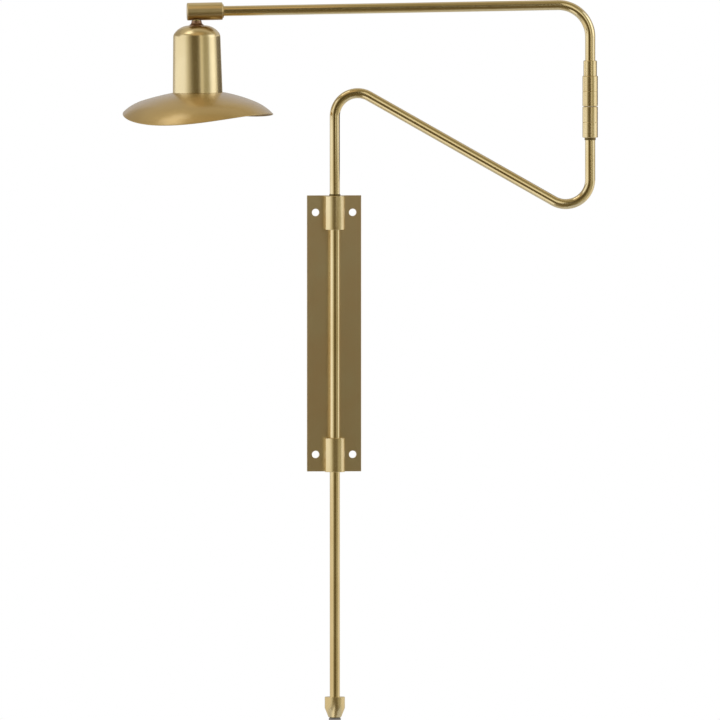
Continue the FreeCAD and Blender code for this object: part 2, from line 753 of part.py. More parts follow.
def centre_contact():
    """The sprung tongue that meets the foot of a lamp's cap."""
    half, t, lift = contact_reach / 2, contact_t, contact_lift
    bend = contact_foot - half
    outline = [V(-half, 0, 0), V(bend, 0, 0), V(0, 0, -lift), V(half, 0, t - lift), V(half, 0, -lift),
               V(0, 0, -lift - t), V(bend, 0, -t), V(-half, 0, -t)]
    tongue = Part.Face(Part.makePolygon(outline + outline[:1])).extrude(BACK * contact_w)
    tongue.translate(V(0, -contact_w / 2, insert_z + contact_pocket_h))
    return head_place(tongue)


PIECES = {
    "wall_plate": wall_plate(),
    "upper_collar": collar(plate_h / 2 - collar_len),
    "lower_collar": collar(-plate_h / 2),
    "upper_collar_bush": collar_bush(plate_h / 2 - collar_len),
    "lower_collar_bush": collar_bush(-plate_h / 2),
    "collar_screws": collar_screws(),
    "lower_arm_tube": lower_arm_tube(),
    "post_stop_ring": post_stop_ring(),
    "lower_flex": lower_flex(),
    "cord_gland": cord_gland(),
    "gland_grommet": gland_grommet(),
    "elbow_base_ring": elbow_base_ring(),
    "elbow_lower_sleeve": elbow_lower_sleeve(),
    "elbow_spindle": elbow_spindle(),
    "spindle_clip": spindle_clip(),
    "elbow_thrust_washer": elbow_thrust_washer(),
    "elbow_upper_sleeve": elbow_upper_sleeve(),
    "elbow_bush_lower": elbow_bush_lower(),
    "elbow_bush_upper": elbow_bush_upper(),
    "elbow_ferrule": elbow_ferrule(),
    "upper_arm_tube": upper_arm_tube(),
    "upper_flex": upper_flex(),
    "end_block": end_block(),
    "tilt_bush": tilt_bush(),
    "tilt_screw": tilt_screw(),
    "neck_nipple": neck_nipple(),
    "nipple_locknut": nipple_locknut(),
    "head_flex": head_flex(),
    "lampholder_cap": lampholder_cap(),
    "lampholder_body": lampholder_body(),
    "lampholder_insert": lampholder_insert(),
    "terminal_screws": terminal_screws(),
    "screw_shell": screw_shell(),
    "centre_contact": centre_contact(),
    "shade_ring": shade_ring(),
    "neck_collar": neck_collar(),
    "swivel_washer": swivel_washer(),
    "cup": cup(),
    "shade": shade(),
}

os.makedirs("parts", exist_ok=True)
for name, piece in PIECES.items():
    piece.exportStep(f"parts/{name}.step")
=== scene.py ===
"""Looks of the swing arm wall lamp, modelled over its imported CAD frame.

Each piece that shows is modelled again, smooth, at its CAD size and place, and stands for its CAD node.
Pieces inside the lamp keep their CAD mesh and get a finish. The fields of the lamp's classes are in
millimetres and degrees, those of the studio in metres and degrees.
"""
import json
import logging
import math
from dataclasses import dataclass, field
from enum import Enum
from typing import Callable, Sequence

import bmesh
import bpy
from mathutils import Matrix, Vector


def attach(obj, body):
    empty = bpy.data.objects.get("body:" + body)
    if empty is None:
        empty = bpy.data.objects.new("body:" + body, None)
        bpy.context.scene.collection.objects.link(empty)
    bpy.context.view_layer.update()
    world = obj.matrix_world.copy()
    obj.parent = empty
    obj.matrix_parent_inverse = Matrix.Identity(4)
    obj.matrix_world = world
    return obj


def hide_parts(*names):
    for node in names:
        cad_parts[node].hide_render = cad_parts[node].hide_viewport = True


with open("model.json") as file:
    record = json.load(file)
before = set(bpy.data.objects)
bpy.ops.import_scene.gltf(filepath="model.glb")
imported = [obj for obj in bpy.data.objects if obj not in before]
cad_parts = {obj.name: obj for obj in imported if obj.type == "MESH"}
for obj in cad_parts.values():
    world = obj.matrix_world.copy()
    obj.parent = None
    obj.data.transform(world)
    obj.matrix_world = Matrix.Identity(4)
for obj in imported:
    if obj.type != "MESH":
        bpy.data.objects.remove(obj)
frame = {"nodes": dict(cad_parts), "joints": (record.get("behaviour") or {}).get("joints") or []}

LOG = logging.getLogger("wall_lamp")
MM = 0.001
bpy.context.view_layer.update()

RGB = tuple[float, float, float]
Span = tuple[float, float]
Outline = Sequence[tuple[float, float]]
Piece = bpy.types.Object
Tree = bpy.types.NodeTree
Socket = bpy.types.NodeSocket


def joint_place(name: str) -> Vector:
    """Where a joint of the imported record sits, in metres."""
    return Vector(next(j["pos_m"] for j in frame["joints"] if j["name"] == name))


def joint_axis(name: str) -> Vector:
    """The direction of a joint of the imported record."""
    return Vector(next(j["axis"] for j in frame["joints"] if j["name"] == name)).normalized()


def upright_line(name: str) -> Vector:
    """The point at height zero on an upright joint's line."""
    place = joint_place(name)
    return Vector((place.x, place.y, 0.0))


POST = upright_line("post_swing")
ELBOW = upright_line("elbow_swing")
HEAD = joint_place("shade_tilt")


def head_frame() -> Matrix:
    """The head's own frame: its X runs along the arm, away from the block's free end, and its Z up the neck.

    Returns:
        The frame's place and turn.
    """
    along, up = -joint_axis("shade_tilt"), joint_axis("shade_swivel")
    turn = Matrix((along, up.cross(along), up)).transposed()
    return Matrix.Translation(HEAD) @ turn.to_4x4()


# Shader nodes


def feed(tree: Tree, node: bpy.types.Node, inputs: dict[str | int, object]) -> None:
    """Set or link a node's inputs.

    Args:
        tree: the nodes that it belongs to.
        node: the node.
        inputs: for an input's name or number, the value that it gets or the output that is linked to it.
    """
    for key, value in inputs.items():
        if isinstance(value, Socket):
            tree.links.new(value, node.inputs[key])
        else:
            node.inputs[key].default_value = value


def add_node(tree: Tree, kind: str, inputs: dict[str | int, object] | None = None,
             **settings: object) -> bpy.types.Node:
    """Add a node.

    Args:
        tree: the nodes that it joins.
        kind: its type.
        inputs: what its inputs are set or linked to.
        settings: its own settings, which come first because they can change its inputs.

    Returns:
        The node.
    """
    node = tree.nodes.new(kind)
    for key, value in settings.items():
        setattr(node, key, value)
    feed(tree, node, inputs or {})
    return node


def reckon(tree: Tree, operation: str, *values: object) -> Socket:
    """Add a Math node on values or outputs, and return its result."""
    return add_node(tree, "ShaderNodeMath", dict(enumerate(values)), operation=operation).outputs[0]


def spread(tree: Tree, value: Socket, source: Span, target: Span = (0.0, 1.0), **settings: object) -> Socket:
    """Map one range of a value to another, with its ends held.

    Args:
        tree: the nodes.
        value: the value.
        source: the range that it has.
        target: the range that it gets.
        settings: the node's own settings.

    Returns:
        The mapped value.
    """
    ranges = {"From Min": source[0], "From Max": source[1], "To Min": target[0], "To Max": target[1]}
    return add_node(tree, "ShaderNodeMapRange", {"Value": value, **ranges}, **settings).outputs["Result"]


def blend(tree: Tree, share: Socket, first: object, second: object) -> Socket:
    """Mix two colours by the second one's share."""
    inputs = {"Factor": share, "A": first, "B": second}
    return add_node(tree, "ShaderNodeMix", inputs, data_type="RGBA").outputs["Result"]


def start_material(name: str) -> bpy.types.Material:
    """A new material with Blender's plain nodes.

    Args:
        name: the material's name.

    Returns:
        The material.
    """
    material = bpy.data.materials.new(name)
    material.use_nodes = True
    return material


# Finishes


class Lay(Enum):
    """Which way a finish's fine marks run."""

    ROUND_HEAD = "rings round the head's upright line, as spinning leaves them"
    ROUND_UPRIGHT = "rings round a vertical line, as turning leaves them"
    ROUND_ARM = "rings round the level arm's line"
    UP_AND_DOWN = "brushed up and down"
    ALONG_TUBE = "drawn along a tube, from the tube's own attribute"
    SPECKLE = "no direction"


TUBE_PLACE = "straightened"
MARK_DETAIL = 3.0
MARK_RANGE = (0.3, 0.7)
MARK_TRACE = 0.03
MARK_STRENGTH = 0.012
PATCH_DETAIL = 2.0
PATCH_GRAIN = 0.55
PATCH_RANGE = (0.35, 0.68)
COAT_ROUGH = 0.2


def shader_colour(colour: RGB) -> tuple[float, float, float, float]:
    """Turn a display colour into the linear colour that a shader takes, by the display's standard curve.

    Args:
        colour: red, green and blue from 0 to 255.

    Returns:
        Linear red, green and blue from 0 to 1, and an alpha of 1.
    """
    parts = [c / 255.0 for c in colour]
    flat = [p / 12.92 if p <= 0.04045 else ((p + 0.055) / 1.055) ** 2.4 for p in parts]
    return (flat[0], flat[1], flat[2], 1.0)


@dataclass(frozen=True)
class Finish:
    """One finish as a procedural material.

    Args:
        name: the material's name.
        clean: display colour where the surface is clean.
        dull: display colour in its duller patches.
        metallic: 1 for bare metal, less for metal under lacquer, 0 for anything else.
        rough: lowest and highest roughness.
        lay: which way the fine marks run.
        marks_mm: width of one fine mark.
        stretch: how many times longer than wide a mark is.
        relief_mm: height of the fine marks.
        patch_mm: size of the duller patches.
        patch_share: how far the patches go towards the dull colour.
        coat: weight of a clear coat.
        painted_shade: display colour of the painted shade that the underside goes over to, if it does.
        painted_shade_mm: heights between which the painted shade comes in.
    """

    name: str
    clean: RGB
    dull: RGB
    metallic: float
    rough: Span
    lay: Lay
    marks_mm: float
    stretch: float = 60.0
    relief_mm: float = 0.004
    patch_mm: float = 45.0
    patch_share: float = 0.6
    coat: float = 0.0
    painted_shade: RGB | None = None
    painted_shade_mm: Span = (0.0, 0.0)

    def make(self) -> bpy.types.Material:
        """Build the material, or return the one made before.

        Returns:
            The material with this finish's name.
        """
        made = bpy.data.materials.get(self.name)
        if made is not None:
            return made
        material = start_material(self.name)
        tree = material.node_tree
        marks = self._marks(tree)
        relief = {"Strength": MARK_STRENGTH, "Distance": self.relief_mm * MM, "Height": marks}
        feed(tree, tree.nodes["Principled BSDF"], {
            "Metallic": self.metallic, "Coat Weight": self.coat, "Coat Roughness": COAT_ROUGH,
            "Base Color": self._colour(tree, marks), "Roughness": spread(tree, marks, MARK_RANGE, self.rough),
            "Normal": add_node(tree, "ShaderNodeBump", relief).outputs["Normal"]})
        return material

    def _coordinates(self, tree: Tree) -> Socket:
        """The coordinates that the fine marks are laid out in.

        Args:
            tree: the material's nodes.

        Returns:
            The straightened tube's coordinates on a tube, and object coordinates elsewhere.
        """
        if self.lay is Lay.ALONG_TUBE:
            return add_node(tree, "ShaderNodeAttribute", attribute_name=TUBE_PLACE).outputs["Vector"]
        return add_node(tree, "ShaderNodeTexCoord").outputs["Object"]

    def _marks(self, tree: Tree) -> Socket:
        """The fine marks.

        Args:
            tree: the material's nodes.

        Returns:
            The marks as a grey value round one half.
        """
        across = 1.0 / (self.marks_mm * MM)
        here = self._coordinates(tree)
        if self.lay in (Lay.ROUND_HEAD, Lay.ROUND_UPRIGHT, Lay.ROUND_ARM):
            rings = {"W": self._ring_place(tree, here), "Scale": across, "Detail": MARK_DETAIL}
            return add_node(tree, "ShaderNodeTexNoise", rings, noise_dimensions="1D").outputs["Fac"]
        along = across / self.stretch if self.lay in (Lay.UP_AND_DOWN, Lay.ALONG_TUBE) else across
        place = add_node(tree, "ShaderNodeMapping", {"Vector": here, "Scale": (across, across, along)})
        grain = {"Vector": place.outputs["Vector"], "Scale": 1.0, "Detail": MARK_DETAIL}
        return add_node(tree, "ShaderNodeTexNoise", grain).outputs["Fac"]

    def _ring_place(self, tree: Tree, here: Socket) -> Socket:
        """How far along its section a point of a turned piece is.

        Args:
            tree: the material's nodes.
            here: object coordinates.

        Returns:
            A length that is the same all round the line that the piece was turned on.
        """
        place = add_node(tree, "ShaderNodeMapping", {"Vector": here}, vector_type="TEXTURE")
        if self.lay is not Lay.ROUND_UPRIGHT:
            feed(tree, place, {"Location": HEAD, "Rotation": head_frame().to_euler()})
        split = add_node(tree, "ShaderNodeSeparateXYZ", {"Vector": place.outputs["Vector"]})
        x, y, z = (split.outputs[axis] for axis in "XYZ")
        if self.lay is not Lay.ROUND_HEAD:
            return x if self.lay is Lay.ROUND_ARM else z
        squares = reckon(tree, "ADD", reckon(tree, "MULTIPLY", x, x), reckon(tree, "MULTIPLY", y, y))
        return reckon(tree, "SUBTRACT", reckon(tree, "POWER", squares, 0.5), z)

    def _colour(self, tree: Tree, marks: Socket) -> Socket:
        """Clean metal with duller patches and a trace of the fine marks, and painted shade on the underside.

        Args:
            tree: the material's nodes.
            marks: the fine marks.

        Returns:
            The colour.
        """
        here = add_node(tree, "ShaderNodeTexCoord").outputs["Object"]
        patches = add_node(tree, "ShaderNodeTexNoise", {
            "Vector": here, "Scale": 1.0 / (self.patch_mm * MM), "Detail": PATCH_DETAIL,
            "Roughness": PATCH_GRAIN})
        dulled = spread(tree, patches.outputs["Fac"], PATCH_RANGE, (0.0, self.patch_share))
        share = reckon(tree, "MULTIPLY_ADD", marks, MARK_TRACE, dulled)
        colour = blend(tree, share, shader_colour(self.clean), shader_colour(self.dull))
        if self.painted_shade is None:
            return colour
        # Painted shade: the colour goes darker towards the underside, between two heights, in place of the
        # dark reflection of the cup below.
        height = add_node(tree, "ShaderNodeSeparateXYZ", {"Vector": here}).outputs["Z"]
        start, end = self.painted_shade_mm
        fall = spread(tree, height, (start * MM, end * MM), interpolation_type="SMOOTHSTEP")
        return blend(tree, fall, colour, shader_colour(self.painted_shade))


BRASS: RGB = (239, 222, 178)
BRASS_DULL: RGB = (226, 205, 155)
DRAWN_BRASS = Finish("drawn_brass", BRASS, BRASS_DULL, 1.0, (0.14, 0.15), Lay.ALONG_TUBE, 0.35)
TURNED_BRASS = Finish("turned_brass", BRASS, BRASS_DULL, 1.0, (0.235, 0.24), Lay.ROUND_UPRIGHT, 0.3)
# The block and its bush get painted shade on their underside, in place of the dark reflection of the cup
# below.
BLOCK_BRASS = Finish("block_brass", BRASS, BRASS_DULL, 1.0, (0.3, 0.305), Lay.ROUND_ARM, 0.3,
                     painted_shade=(172, 146, 100), painted_shade_mm=(305.0, 298.5))
SPUN_BRASS = Finish("spun_brass", BRASS, BRASS_DULL, 1.0, (0.26, 0.268), Lay.ROUND_HEAD, 0.3)
# The neck collar is painted darker and browner: painted shade and painted dark reflections between the block
# and the cup.
NECK_SHADED_BRASS = Finish("neck_brass_painted_shade", (171, 139, 116), (146, 116, 93), 1.0, (0.38, 0.42),
                    Lay.ROUND_HEAD, 0.3)
SHADE_BRASS = Finish("shade_satin_brass", (204, 173, 105), (195, 162, 95), 0.6, (0.3, 0.32),
                     Lay.ROUND_HEAD, 0.4, coat=1.0)
# The shade's inner faces are painted darker: painted shade, as the inside lies in shadow.
SHADE_INSIDE_SHADED = Finish("shade_inside_painted_shade", (150, 126, 86), (126, 104, 68), 1.0, (0.5, 0.56),
                      Lay.ROUND_HEAD, 0.4)
PLATE_BRASS = Finish("plate_satin_brass", (235, 221, 184), (236, 208, 166), 1.0, (0.29, 0.32),
                     Lay.UP_AND_DOWN, 0.4)
BRONZE = Finish("bearing_bronze", (176, 136, 88), (140, 104, 66), 1.0, (0.35, 0.5), Lay.SPECKLE, 0.3)
DARK_STEEL = Finish("bronzed_steel", (140, 124, 84), (112, 98, 66), 1.0, (0.4, 0.6), Lay.SPECKLE, 0.4)
ZINC_STEEL = Finish("yellow_zinc_steel", (196, 178, 132), (172, 150, 104), 1.0, (0.28, 0.4), Lay.SPECKLE, 0.4)
FIBRE = Finish("pale_fibre", (244, 236, 212), (230, 220, 192), 0.0, (0.6, 0.8), Lay.SPECKLE, 0.25,
               relief_mm=0.02)
RUBBER = Finish("grey_rubber", (176, 170, 161), (156, 150, 141), 0.0, (0.6, 0.75), Lay.SPECKLE, 0.5,
                relief_mm=0.02)
# The grommet's groove is painted dark: painted shade in the recess.
RUBBER_GROOVE_SHADED = Finish("grey_rubber_groove_painted_shade", (84, 80, 74), (66, 62, 58), 0.0, (0.7, 0.85), Lay.SPECKLE, 0.5)
SHEATH = Finish("flex_sheath", (222, 218, 208), (198, 194, 184), 0.0, (0.4, 0.55), Lay.SPECKLE, 0.8)
PHENOLIC = Finish("black_phenolic", (30, 28, 27), (42, 38, 35), 0.0, (0.25, 0.4), Lay.SPECKLE, 0.6, coat=0.3)
PORCELAIN = Finish("porcelain", (236, 234, 228), (222, 219, 211), 0.0, (0.12, 0.25), Lay.SPECKLE, 1.2,
                   coat=0.6)
CONTACT = Finish("contact_brass", (232, 206, 140), (206, 176, 112), 1.0, (0.18, 0.3), Lay.SPECKLE, 0.3)


# Hand modelling


class Bench:
    """Modelling steps, each as it is done by hand in Blender, in metres where nothing else is said."""

    SIDES = 96
    FINE_SIDES = 128
    ROD_SIDES = 64
    BEND_STEPS = 40
    EDGE_STEPS = 3
    NEAR = 1e-6
    SAME = 1e-9

    @staticmethod
    def clear() -> None:
        """Leave edit mode and deselect everything."""
        if bpy.context.mode != "OBJECT":
            bpy.ops.object.mode_set(mode="OBJECT")
        bpy.ops.object.select_all(action="DESELECT")

    @staticmethod
    def take(piece: Piece) -> None:
        """Make one piece the only selected and active one.

        Args:
            piece: the piece.
        """
        Bench.clear()
        piece.select_set(True)
        bpy.context.view_layer.objects.active = piece

    @staticmethod
    def settle() -> None:
        """Put the selected piece's place, turn and scale into its mesh."""
        bpy.ops.object.transform_apply(location=True, rotation=True, scale=True)

    @staticmethod
    def name_new(name: str) -> Piece:
        """Name the piece that was just made.

        Args:
            name: the piece's name.

        Returns:
            The piece.
        """
        piece = bpy.context.active_object
        piece.name = piece.data.name = name
        return piece

    @staticmethod
    def ring(name: str, radius: float, place: Vector, sides: int) -> Piece:
        """Start a piece as an open ring, and stay in edit mode with the ring selected.

        Args:
            name: the piece's name.
            radius: the ring's radius.
            place: the ring's middle.
            sides: points in the ring.

        Returns:
            The piece.
        """
        Bench.clear()
        bpy.ops.mesh.primitive_circle_add(vertices=sides, radius=radius, location=place)
        piece = Bench.name_new(name)
        bpy.ops.object.mode_set(mode="EDIT")
        bpy.ops.mesh.select_all(action="SELECT")
        return piece

    @staticmethod
    def draw(step: Vector) -> None:
        """Extrude the selected ring by a step."""
        bpy.ops.mesh.extrude_edges_move(TRANSFORM_OT_translate={"value": step})

    @staticmethod
    def widen(factor: float, centre: Vector) -> None:
        """Scale the selected ring about a point, in its level plane."""
        if abs(factor - 1.0) > Bench.SAME:
            bpy.ops.transform.resize(value=(factor, factor, 1.0), center_override=centre)

    @staticmethod
    def pick_open_edges() -> None:
        """Select the edges that have a face on one side only."""
        bpy.ops.mesh.select_all(action="DESELECT")
        bpy.ops.mesh.select_non_manifold(extend=False, use_wire=False, use_boundary=True,
                                         use_multi_face=False, use_non_contiguous=False, use_verts=False)

    @staticmethod
    def pick(piece: Piece, wanted: Callable[[Vector], bool]) -> None:
        """Select the vertices at places that pass a test, with the edges and faces between them.

        Args:
            piece: the piece, in edit mode.
            wanted: tells from a vertex's place whether it is selected.
        """
        bpy.ops.mesh.select_all(action="DESELECT")
        mesh = bmesh.from_edit_mesh(piece.data)
        for vertex in mesh.verts:
            vertex.select = wanted(piece.matrix_world @ vertex.co)
        mesh.select_flush(True)
        bmesh.update_edit_mesh(piece.data)

    @staticmethod
    def close_ends() -> None:
        """Close the ring that was drawn last, and then the open ring at the other end."""
        bpy.ops.mesh.edge_face_add()
        Bench.pick_open_edges()
        bpy.ops.mesh.edge_face_add()

    @staticmethod
    def tidy(piece: Piece) -> None:
        """Merge doubled points, turn the normals outward and leave edit mode with the place in the mesh.

        Args:
            piece: the piece, in edit mode.
        """
        bpy.ops.mesh.select_all(action="SELECT")
        bpy.ops.mesh.remove_doubles(threshold=Bench.NEAR)
        bpy.ops.mesh.normals_make_consistent(inside=False)
        bpy.ops.object.mode_set(mode="OBJECT")
        Bench.take(piece)
        Bench.settle()

    @staticmethod
    def skin(name: str, outline: Outline, line: Vector, sides: int = SIDES) -> Piece:
        """Draw an open skin about a vertical line, one ring after another, and stay in edit mode.

        Args:
            name: the piece's name.
            outline: radius and height of each ring, in millimetres.
            line: a point of the line, from which the heights count.
            sides: points in a ring.

        Returns:
            The piece, with its last ring selected.
        """
        rings = [(r * MM, line + Vector((0.0, 0.0, z * MM))) for r, z in outline]
        piece = Bench.ring(name, *rings[0], sides)
        for (radius, here), (next_radius, there) in zip(rings, rings[1:]):
            Bench.draw(there - here)
            Bench.widen(next_radius / radius, there)
        return piece

    @staticmethod
    def turn(name: str, outline: Outline, line: Vector, sides: int = SIDES) -> Piece:
        """Turn a closed outline about a vertical line.

        Args:
            name: the piece's name.
            outline: radius and height of each corner, in millimetres, in order round the section.
            line: a point of the line, from which the heights count.
            sides: points in a ring.

        Returns:
            The closed ring-shaped piece.
        """
        piece = Bench.skin(name, outline, line, sides)
        Bench.pick_open_edges()
        bpy.ops.mesh.bridge_edge_loops()
        Bench.tidy(piece)
        return piece

    @staticmethod
    def bend(name: str, line: Sequence[Vector], bends: Sequence[float], radius: float, wall: float) -> Piece:
        """Bend a tube along a line that starts upright.

        Args:
            name: the piece's name.
            line: the line's ends and corners.
            bends: the bend's radius at each corner.
            radius: the tube's radius.
            wall: the tube's wall.

        Returns:
            The tube, with an attribute that gives each point's place on the straightened tube.
        """
        piece = Bench.ring(name, radius, line[0], Bench.ROD_SIDES)
        here = line[0]
        for before, corner, after, bend in zip(line, line[1:], line[2:], bends):
            into, out = (corner - before).normalized(), (after - corner).normalized()
            turn = into.angle(out)
            lead = bend * math.tan(turn / 2.0)
            start = corner - into * lead
            side = (out - into * into.dot(out)).normalized()
            Bench.draw(start - here)
            bpy.ops.mesh.spin(steps=Bench.BEND_STEPS, angle=-turn, center=start + side * bend,
                              axis=into.cross(out).normalized())
            here = corner + out * lead
        Bench.draw(line[-1] - here)
        Bench.tidy(piece)
        Bench.thicken(piece, wall)
        Bench.mark_length(piece, line)
        Bench.soften(piece, 0.0)
        return piece

    @staticmethod
    def mark_length(piece: Piece, line: Sequence[Vector]) -> None:
        """Store each point's place on the straightened tube as an attribute.

        Args:
            piece: the tube.
            line: the line's ends and corners.
        """
        runs: list[tuple[Vector, Vector]] = list(zip(line, line[1:]))
        lengths = [(b - a).length for a, b in runs]
        marks = piece.data.attributes.new(TUBE_PLACE, "FLOAT_VECTOR", "POINT")
        level = Vector((0.0, 1.0, 0.0))
        for vertex, mark in zip(piece.data.vertices, marks.data):
            best = None
            for spot, (a, b) in enumerate(runs):
                way = (b - a) / lengths[spot]
                along = min(max((vertex.co - a).dot(way), 0.0), lengths[spot])
                gap = (vertex.co - a - way * along).length
                if best is None or gap < best[0]:
                    best = (gap, sum(lengths[:spot]) + along, way, a)
            _, length, way, start = best
            away = vertex.co - start
            mark.vector = (away.dot(way.cross(level)), away.dot(level), length)

    @staticmethod
    def modify(piece: Piece, kind: str, **settings: object) -> None:
        """Add a modifier and apply it.

        Args:
            piece: the piece.
            kind: the modifier's type.
            settings: the modifier's settings.
        """
        Bench.take(piece)
        modifier = piece.modifiers.new(kind.lower(), kind)
        for key, value in settings.items():
            setattr(modifier, key, value)
        bpy.ops.object.modifier_apply(modifier=modifier.name)

    @staticmethod
    def thicken(piece: Piece, wall: float) -> None:
        """Give an open skin a wall on its inner side."""
        Bench.modify(piece, "SOLIDIFY", thickness=wall, offset=-1.0, use_even_offset=True, use_rim=True)

    @staticmethod
    def smooth(piece: Piece, sharp: float) -> None:
        """Shade a piece smooth up to an angle in degrees."""
        Bench.take(piece)
        bpy.ops.object.shade_smooth_by_angle(angle=math.radians(sharp))

    @staticmethod
    def soften(piece: Piece, width_mm: float, sharp: float = 32.0) -> None:
        """Round the sharp edges a little and shade the rest smooth.

        Args:
            piece: the piece.
            width_mm: width of the rounding.
            sharp: the angle from which an edge counts as sharp.
        """
        if width_mm > 0.0:
            Bench.modify(piece, "BEVEL", width=width_mm * MM, segments=Bench.EDGE_STEPS, limit_method="ANGLE",
                         angle_limit=math.radians(sharp), use_clamp_overlap=True)
        Bench.smooth(piece, sharp)
        Bench.modify(piece, "WEIGHTED_NORMAL", keep_sharp=True)

    @staticmethod
    def cut(piece: Piece, tools: Sequence[Piece]) -> None:
        """Take the tools' shapes out of a piece, and throw the tools away.

        Args:
            piece: the piece.
            tools: the tools.
        """
        for tool in tools:
            Bench.modify(piece, "BOOLEAN", object=tool, operation="DIFFERENCE", solver="EXACT")
            bpy.data.objects.remove(tool)

    @staticmethod
    def rod(radius: float, start: Vector, end: Vector) -> Piece:
        """A plain round cutter between two points.

        Args:
            radius: its radius.
            start: the middle of one end.
            end: the middle of the other end.

        Returns:
            The cutter.
        """
        Bench.clear()
        way = end - start
        bpy.ops.mesh.primitive_cylinder_add(vertices=Bench.ROD_SIDES, radius=radius, depth=way.length,
                                            location=(start + end) / 2.0,
                                            rotation=way.to_track_quat("Z", "Y").to_euler())
        return bpy.context.active_object

    @staticmethod
    def copy(piece: Piece, name: str, step: Vector) -> Piece:
        """A second piece of the same form with its own mesh, moved by a step.

        Args:
            piece: the first piece.
            name: the second piece's name.
            step: how far the second piece is moved.

        Returns:
            The second piece.
        """
        Bench.take(piece)
        bpy.ops.object.duplicate()
        twin = Bench.name_new(name)
        bpy.ops.transform.translate(value=step)
        Bench.settle()
        return twin

    @staticmethod
    def carry(piece: Piece, place: Matrix) -> Piece:
        """Move a piece that was made at the origin to its place.

        Args:
            piece: the piece.
            place: its place and turn.

        Returns:
            The piece.
        """
        Bench.take(piece)
        piece.matrix_world = place
        Bench.settle()
        return piece


def dress(piece: Piece, finish: Finish, body: str, slot: str, *nodes: str) -> None:
    """Give a piece its finish and body, and let it stand for CAD nodes.

    Args:
        piece: the piece.
        finish: its finish.
        body: the CAD body that it rides on.
        slot: the record's material slot; not used.
        nodes: the CAD nodes that it stands for.
    """
    piece.data.materials.clear()
    piece.data.materials.append(finish.make())
    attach(piece, body)
    if nodes:
        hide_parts(*nodes)
    LOG.info("%s: %d faces, %s on %s", piece.name, len(piece.data.polygons), finish.name, body)


def dress_faces(piece: Piece, finish: Finish, wanted: Callable[[Vector, Vector], bool]) -> None:
    """Give some faces of a dressed piece a second finish.

    Args:
        piece: the piece.
        finish: the second finish.
        wanted: tells from a face's middle and normal whether it gets the finish.
    """
    piece.data.materials.append(finish.make())
    last = len(piece.data.materials) - 1
    for face in piece.data.polygons:
        if wanted(face.center, face.normal):
            face.material_index = last


# Sub-assemblies


@dataclass
class WallBracket:
    """The plate on the wall and its two collars."""

    plate: tuple[float, float, float] = (51.0, 4.0, 260.0)
    edge: float = 0.5
    sharp: float = 40.0
    hole_r: float = 3.5
    hole_at: Span = (17.5, 114.0)
    collar_r: float = 9.5
    collar_len: float = 32.0
    collar_bore: float = 6.12
    pieces: dict[str, Piece] = field(default_factory=dict)

    def build(self) -> None:
        """Model the plate and the collars."""
        self.pieces["plate"] = self.make_plate()
        top = self.plate[2] / 2.0
        upper = self.make_collar("upper_collar_turned", top - self.collar_len)
        self.pieces["upper"] = upper
        self.pieces["lower"] = Bench.copy(upper, "lower_collar_turned",
                                          Vector((0.0, 0.0, (self.collar_len - 2.0 * top) * MM)))

    def make_plate(self) -> Piece:
        """A flat bar with four fixing holes and broken edges.

        Returns:
            The plate.
        """
        Bench.clear()
        width, depth, height = (size * MM for size in self.plate)
        bpy.ops.mesh.primitive_cube_add(size=1.0, location=(0.0, -depth / 2.0, 0.0),
                                        scale=(width, depth, height))
        plate = Bench.name_new("wall_plate_bar")
        Bench.settle()
        x, z = (at * MM for at in self.hole_at)
        Bench.cut(plate, [Bench.rod(self.hole_r * MM, Vector((side * x, depth, end * z)),
                                    Vector((side * x, -2.0 * depth, end * z)))
                          for side in (-1, 1) for end in (-1, 1)])
        Bench.soften(plate, self.edge, self.sharp)
        return plate

    def make_collar(self, name: str, foot: float) -> Piece:
        """One round collar, cut flat where it lies on the plate.

        Args:
            name: the collar's name.
            foot: height of its lower end.

        Returns:
            The collar.
        """
        top = foot + self.collar_len
        collar = Bench.turn(name, [(self.collar_bore, foot), (self.collar_r, foot), (self.collar_r, top),
                                   (self.collar_bore, top)], POST, Bench.FINE_SIDES)
        bpy.ops.object.mode_set(mode="EDIT")
        bpy.ops.mesh.select_all(action="SELECT")
        bpy.ops.mesh.bisect(plane_co=(0.0, -self.plate[1] * MM, 0.0), plane_no=(0.0, 1.0, 0.0),
                            use_fill=True, clear_outer=True)
        Bench.tidy(collar)
        Bench.soften(collar, self.edge, self.sharp)
        return collar

    def dress(self) -> None:
        """Give the bracket its finishes."""
        dress(self.pieces["plate"], PLATE_BRASS, "wall_bracket", "plate_brass", "wall_plate")
        dress(self.pieces["upper"], TURNED_BRASS, "wall_bracket", "satin_brass", "upper_collar")
        dress(self.pieces["lower"], TURNED_BRASS, "wall_bracket", "satin_brass", "lower_collar")


@dataclass
class Arm:
    """What both arms have: a bent tube, turned pieces on it, and a sleeve with a seam at the elbow."""

    tube_r: float = 4.75
    tube_wall: float = 1.0
    sleeve_r: float = 7.25
    sleeve_edge: float = 0.08
    sleeve_chamfer: float = 0.3
    seam: float = 0.25
    pieces: dict[str, Piece] = field(default_factory=dict)

    def make_tube(self, name: str, line: Sequence[Vector], bends: Sequence[float]) -> None:
        """Bend the arm's tube along a line in metres, with the bends' radii in millimetres."""
        self.pieces["tube"] = Bench.bend(name, line, [bend * MM for bend in bends], self.tube_r * MM,
                                         self.tube_wall * MM)

    def turn(self, key: str, name: str, outline: Outline, line: Vector, edge: float) -> None:
        """Turn one of the arm's pieces about a vertical line and round its edges."""
        self.pieces[key] = Bench.turn(name, outline, line)
        Bench.soften(self.pieces[key], edge)

    def seamed_side(self, foot: float, top: float, middle: float) -> list[Span]:
        """The outer side of the sleeve, with broken ends and a seam twice as wide as it is deep.

        Args:
            foot: height of its lower end.
            top: height of its upper end.
            middle: height of the seam.

        Returns:
            Radius and height of each corner, from the foot up.
        """
        radius, edge, seam = self.sleeve_r, self.sleeve_chamfer, self.seam
        return [(radius - edge, foot), (radius, foot + edge), (radius, middle - seam),
                (radius - seam, middle), (radius, middle + seam), (radius, top - edge), (radius - edge, top)]


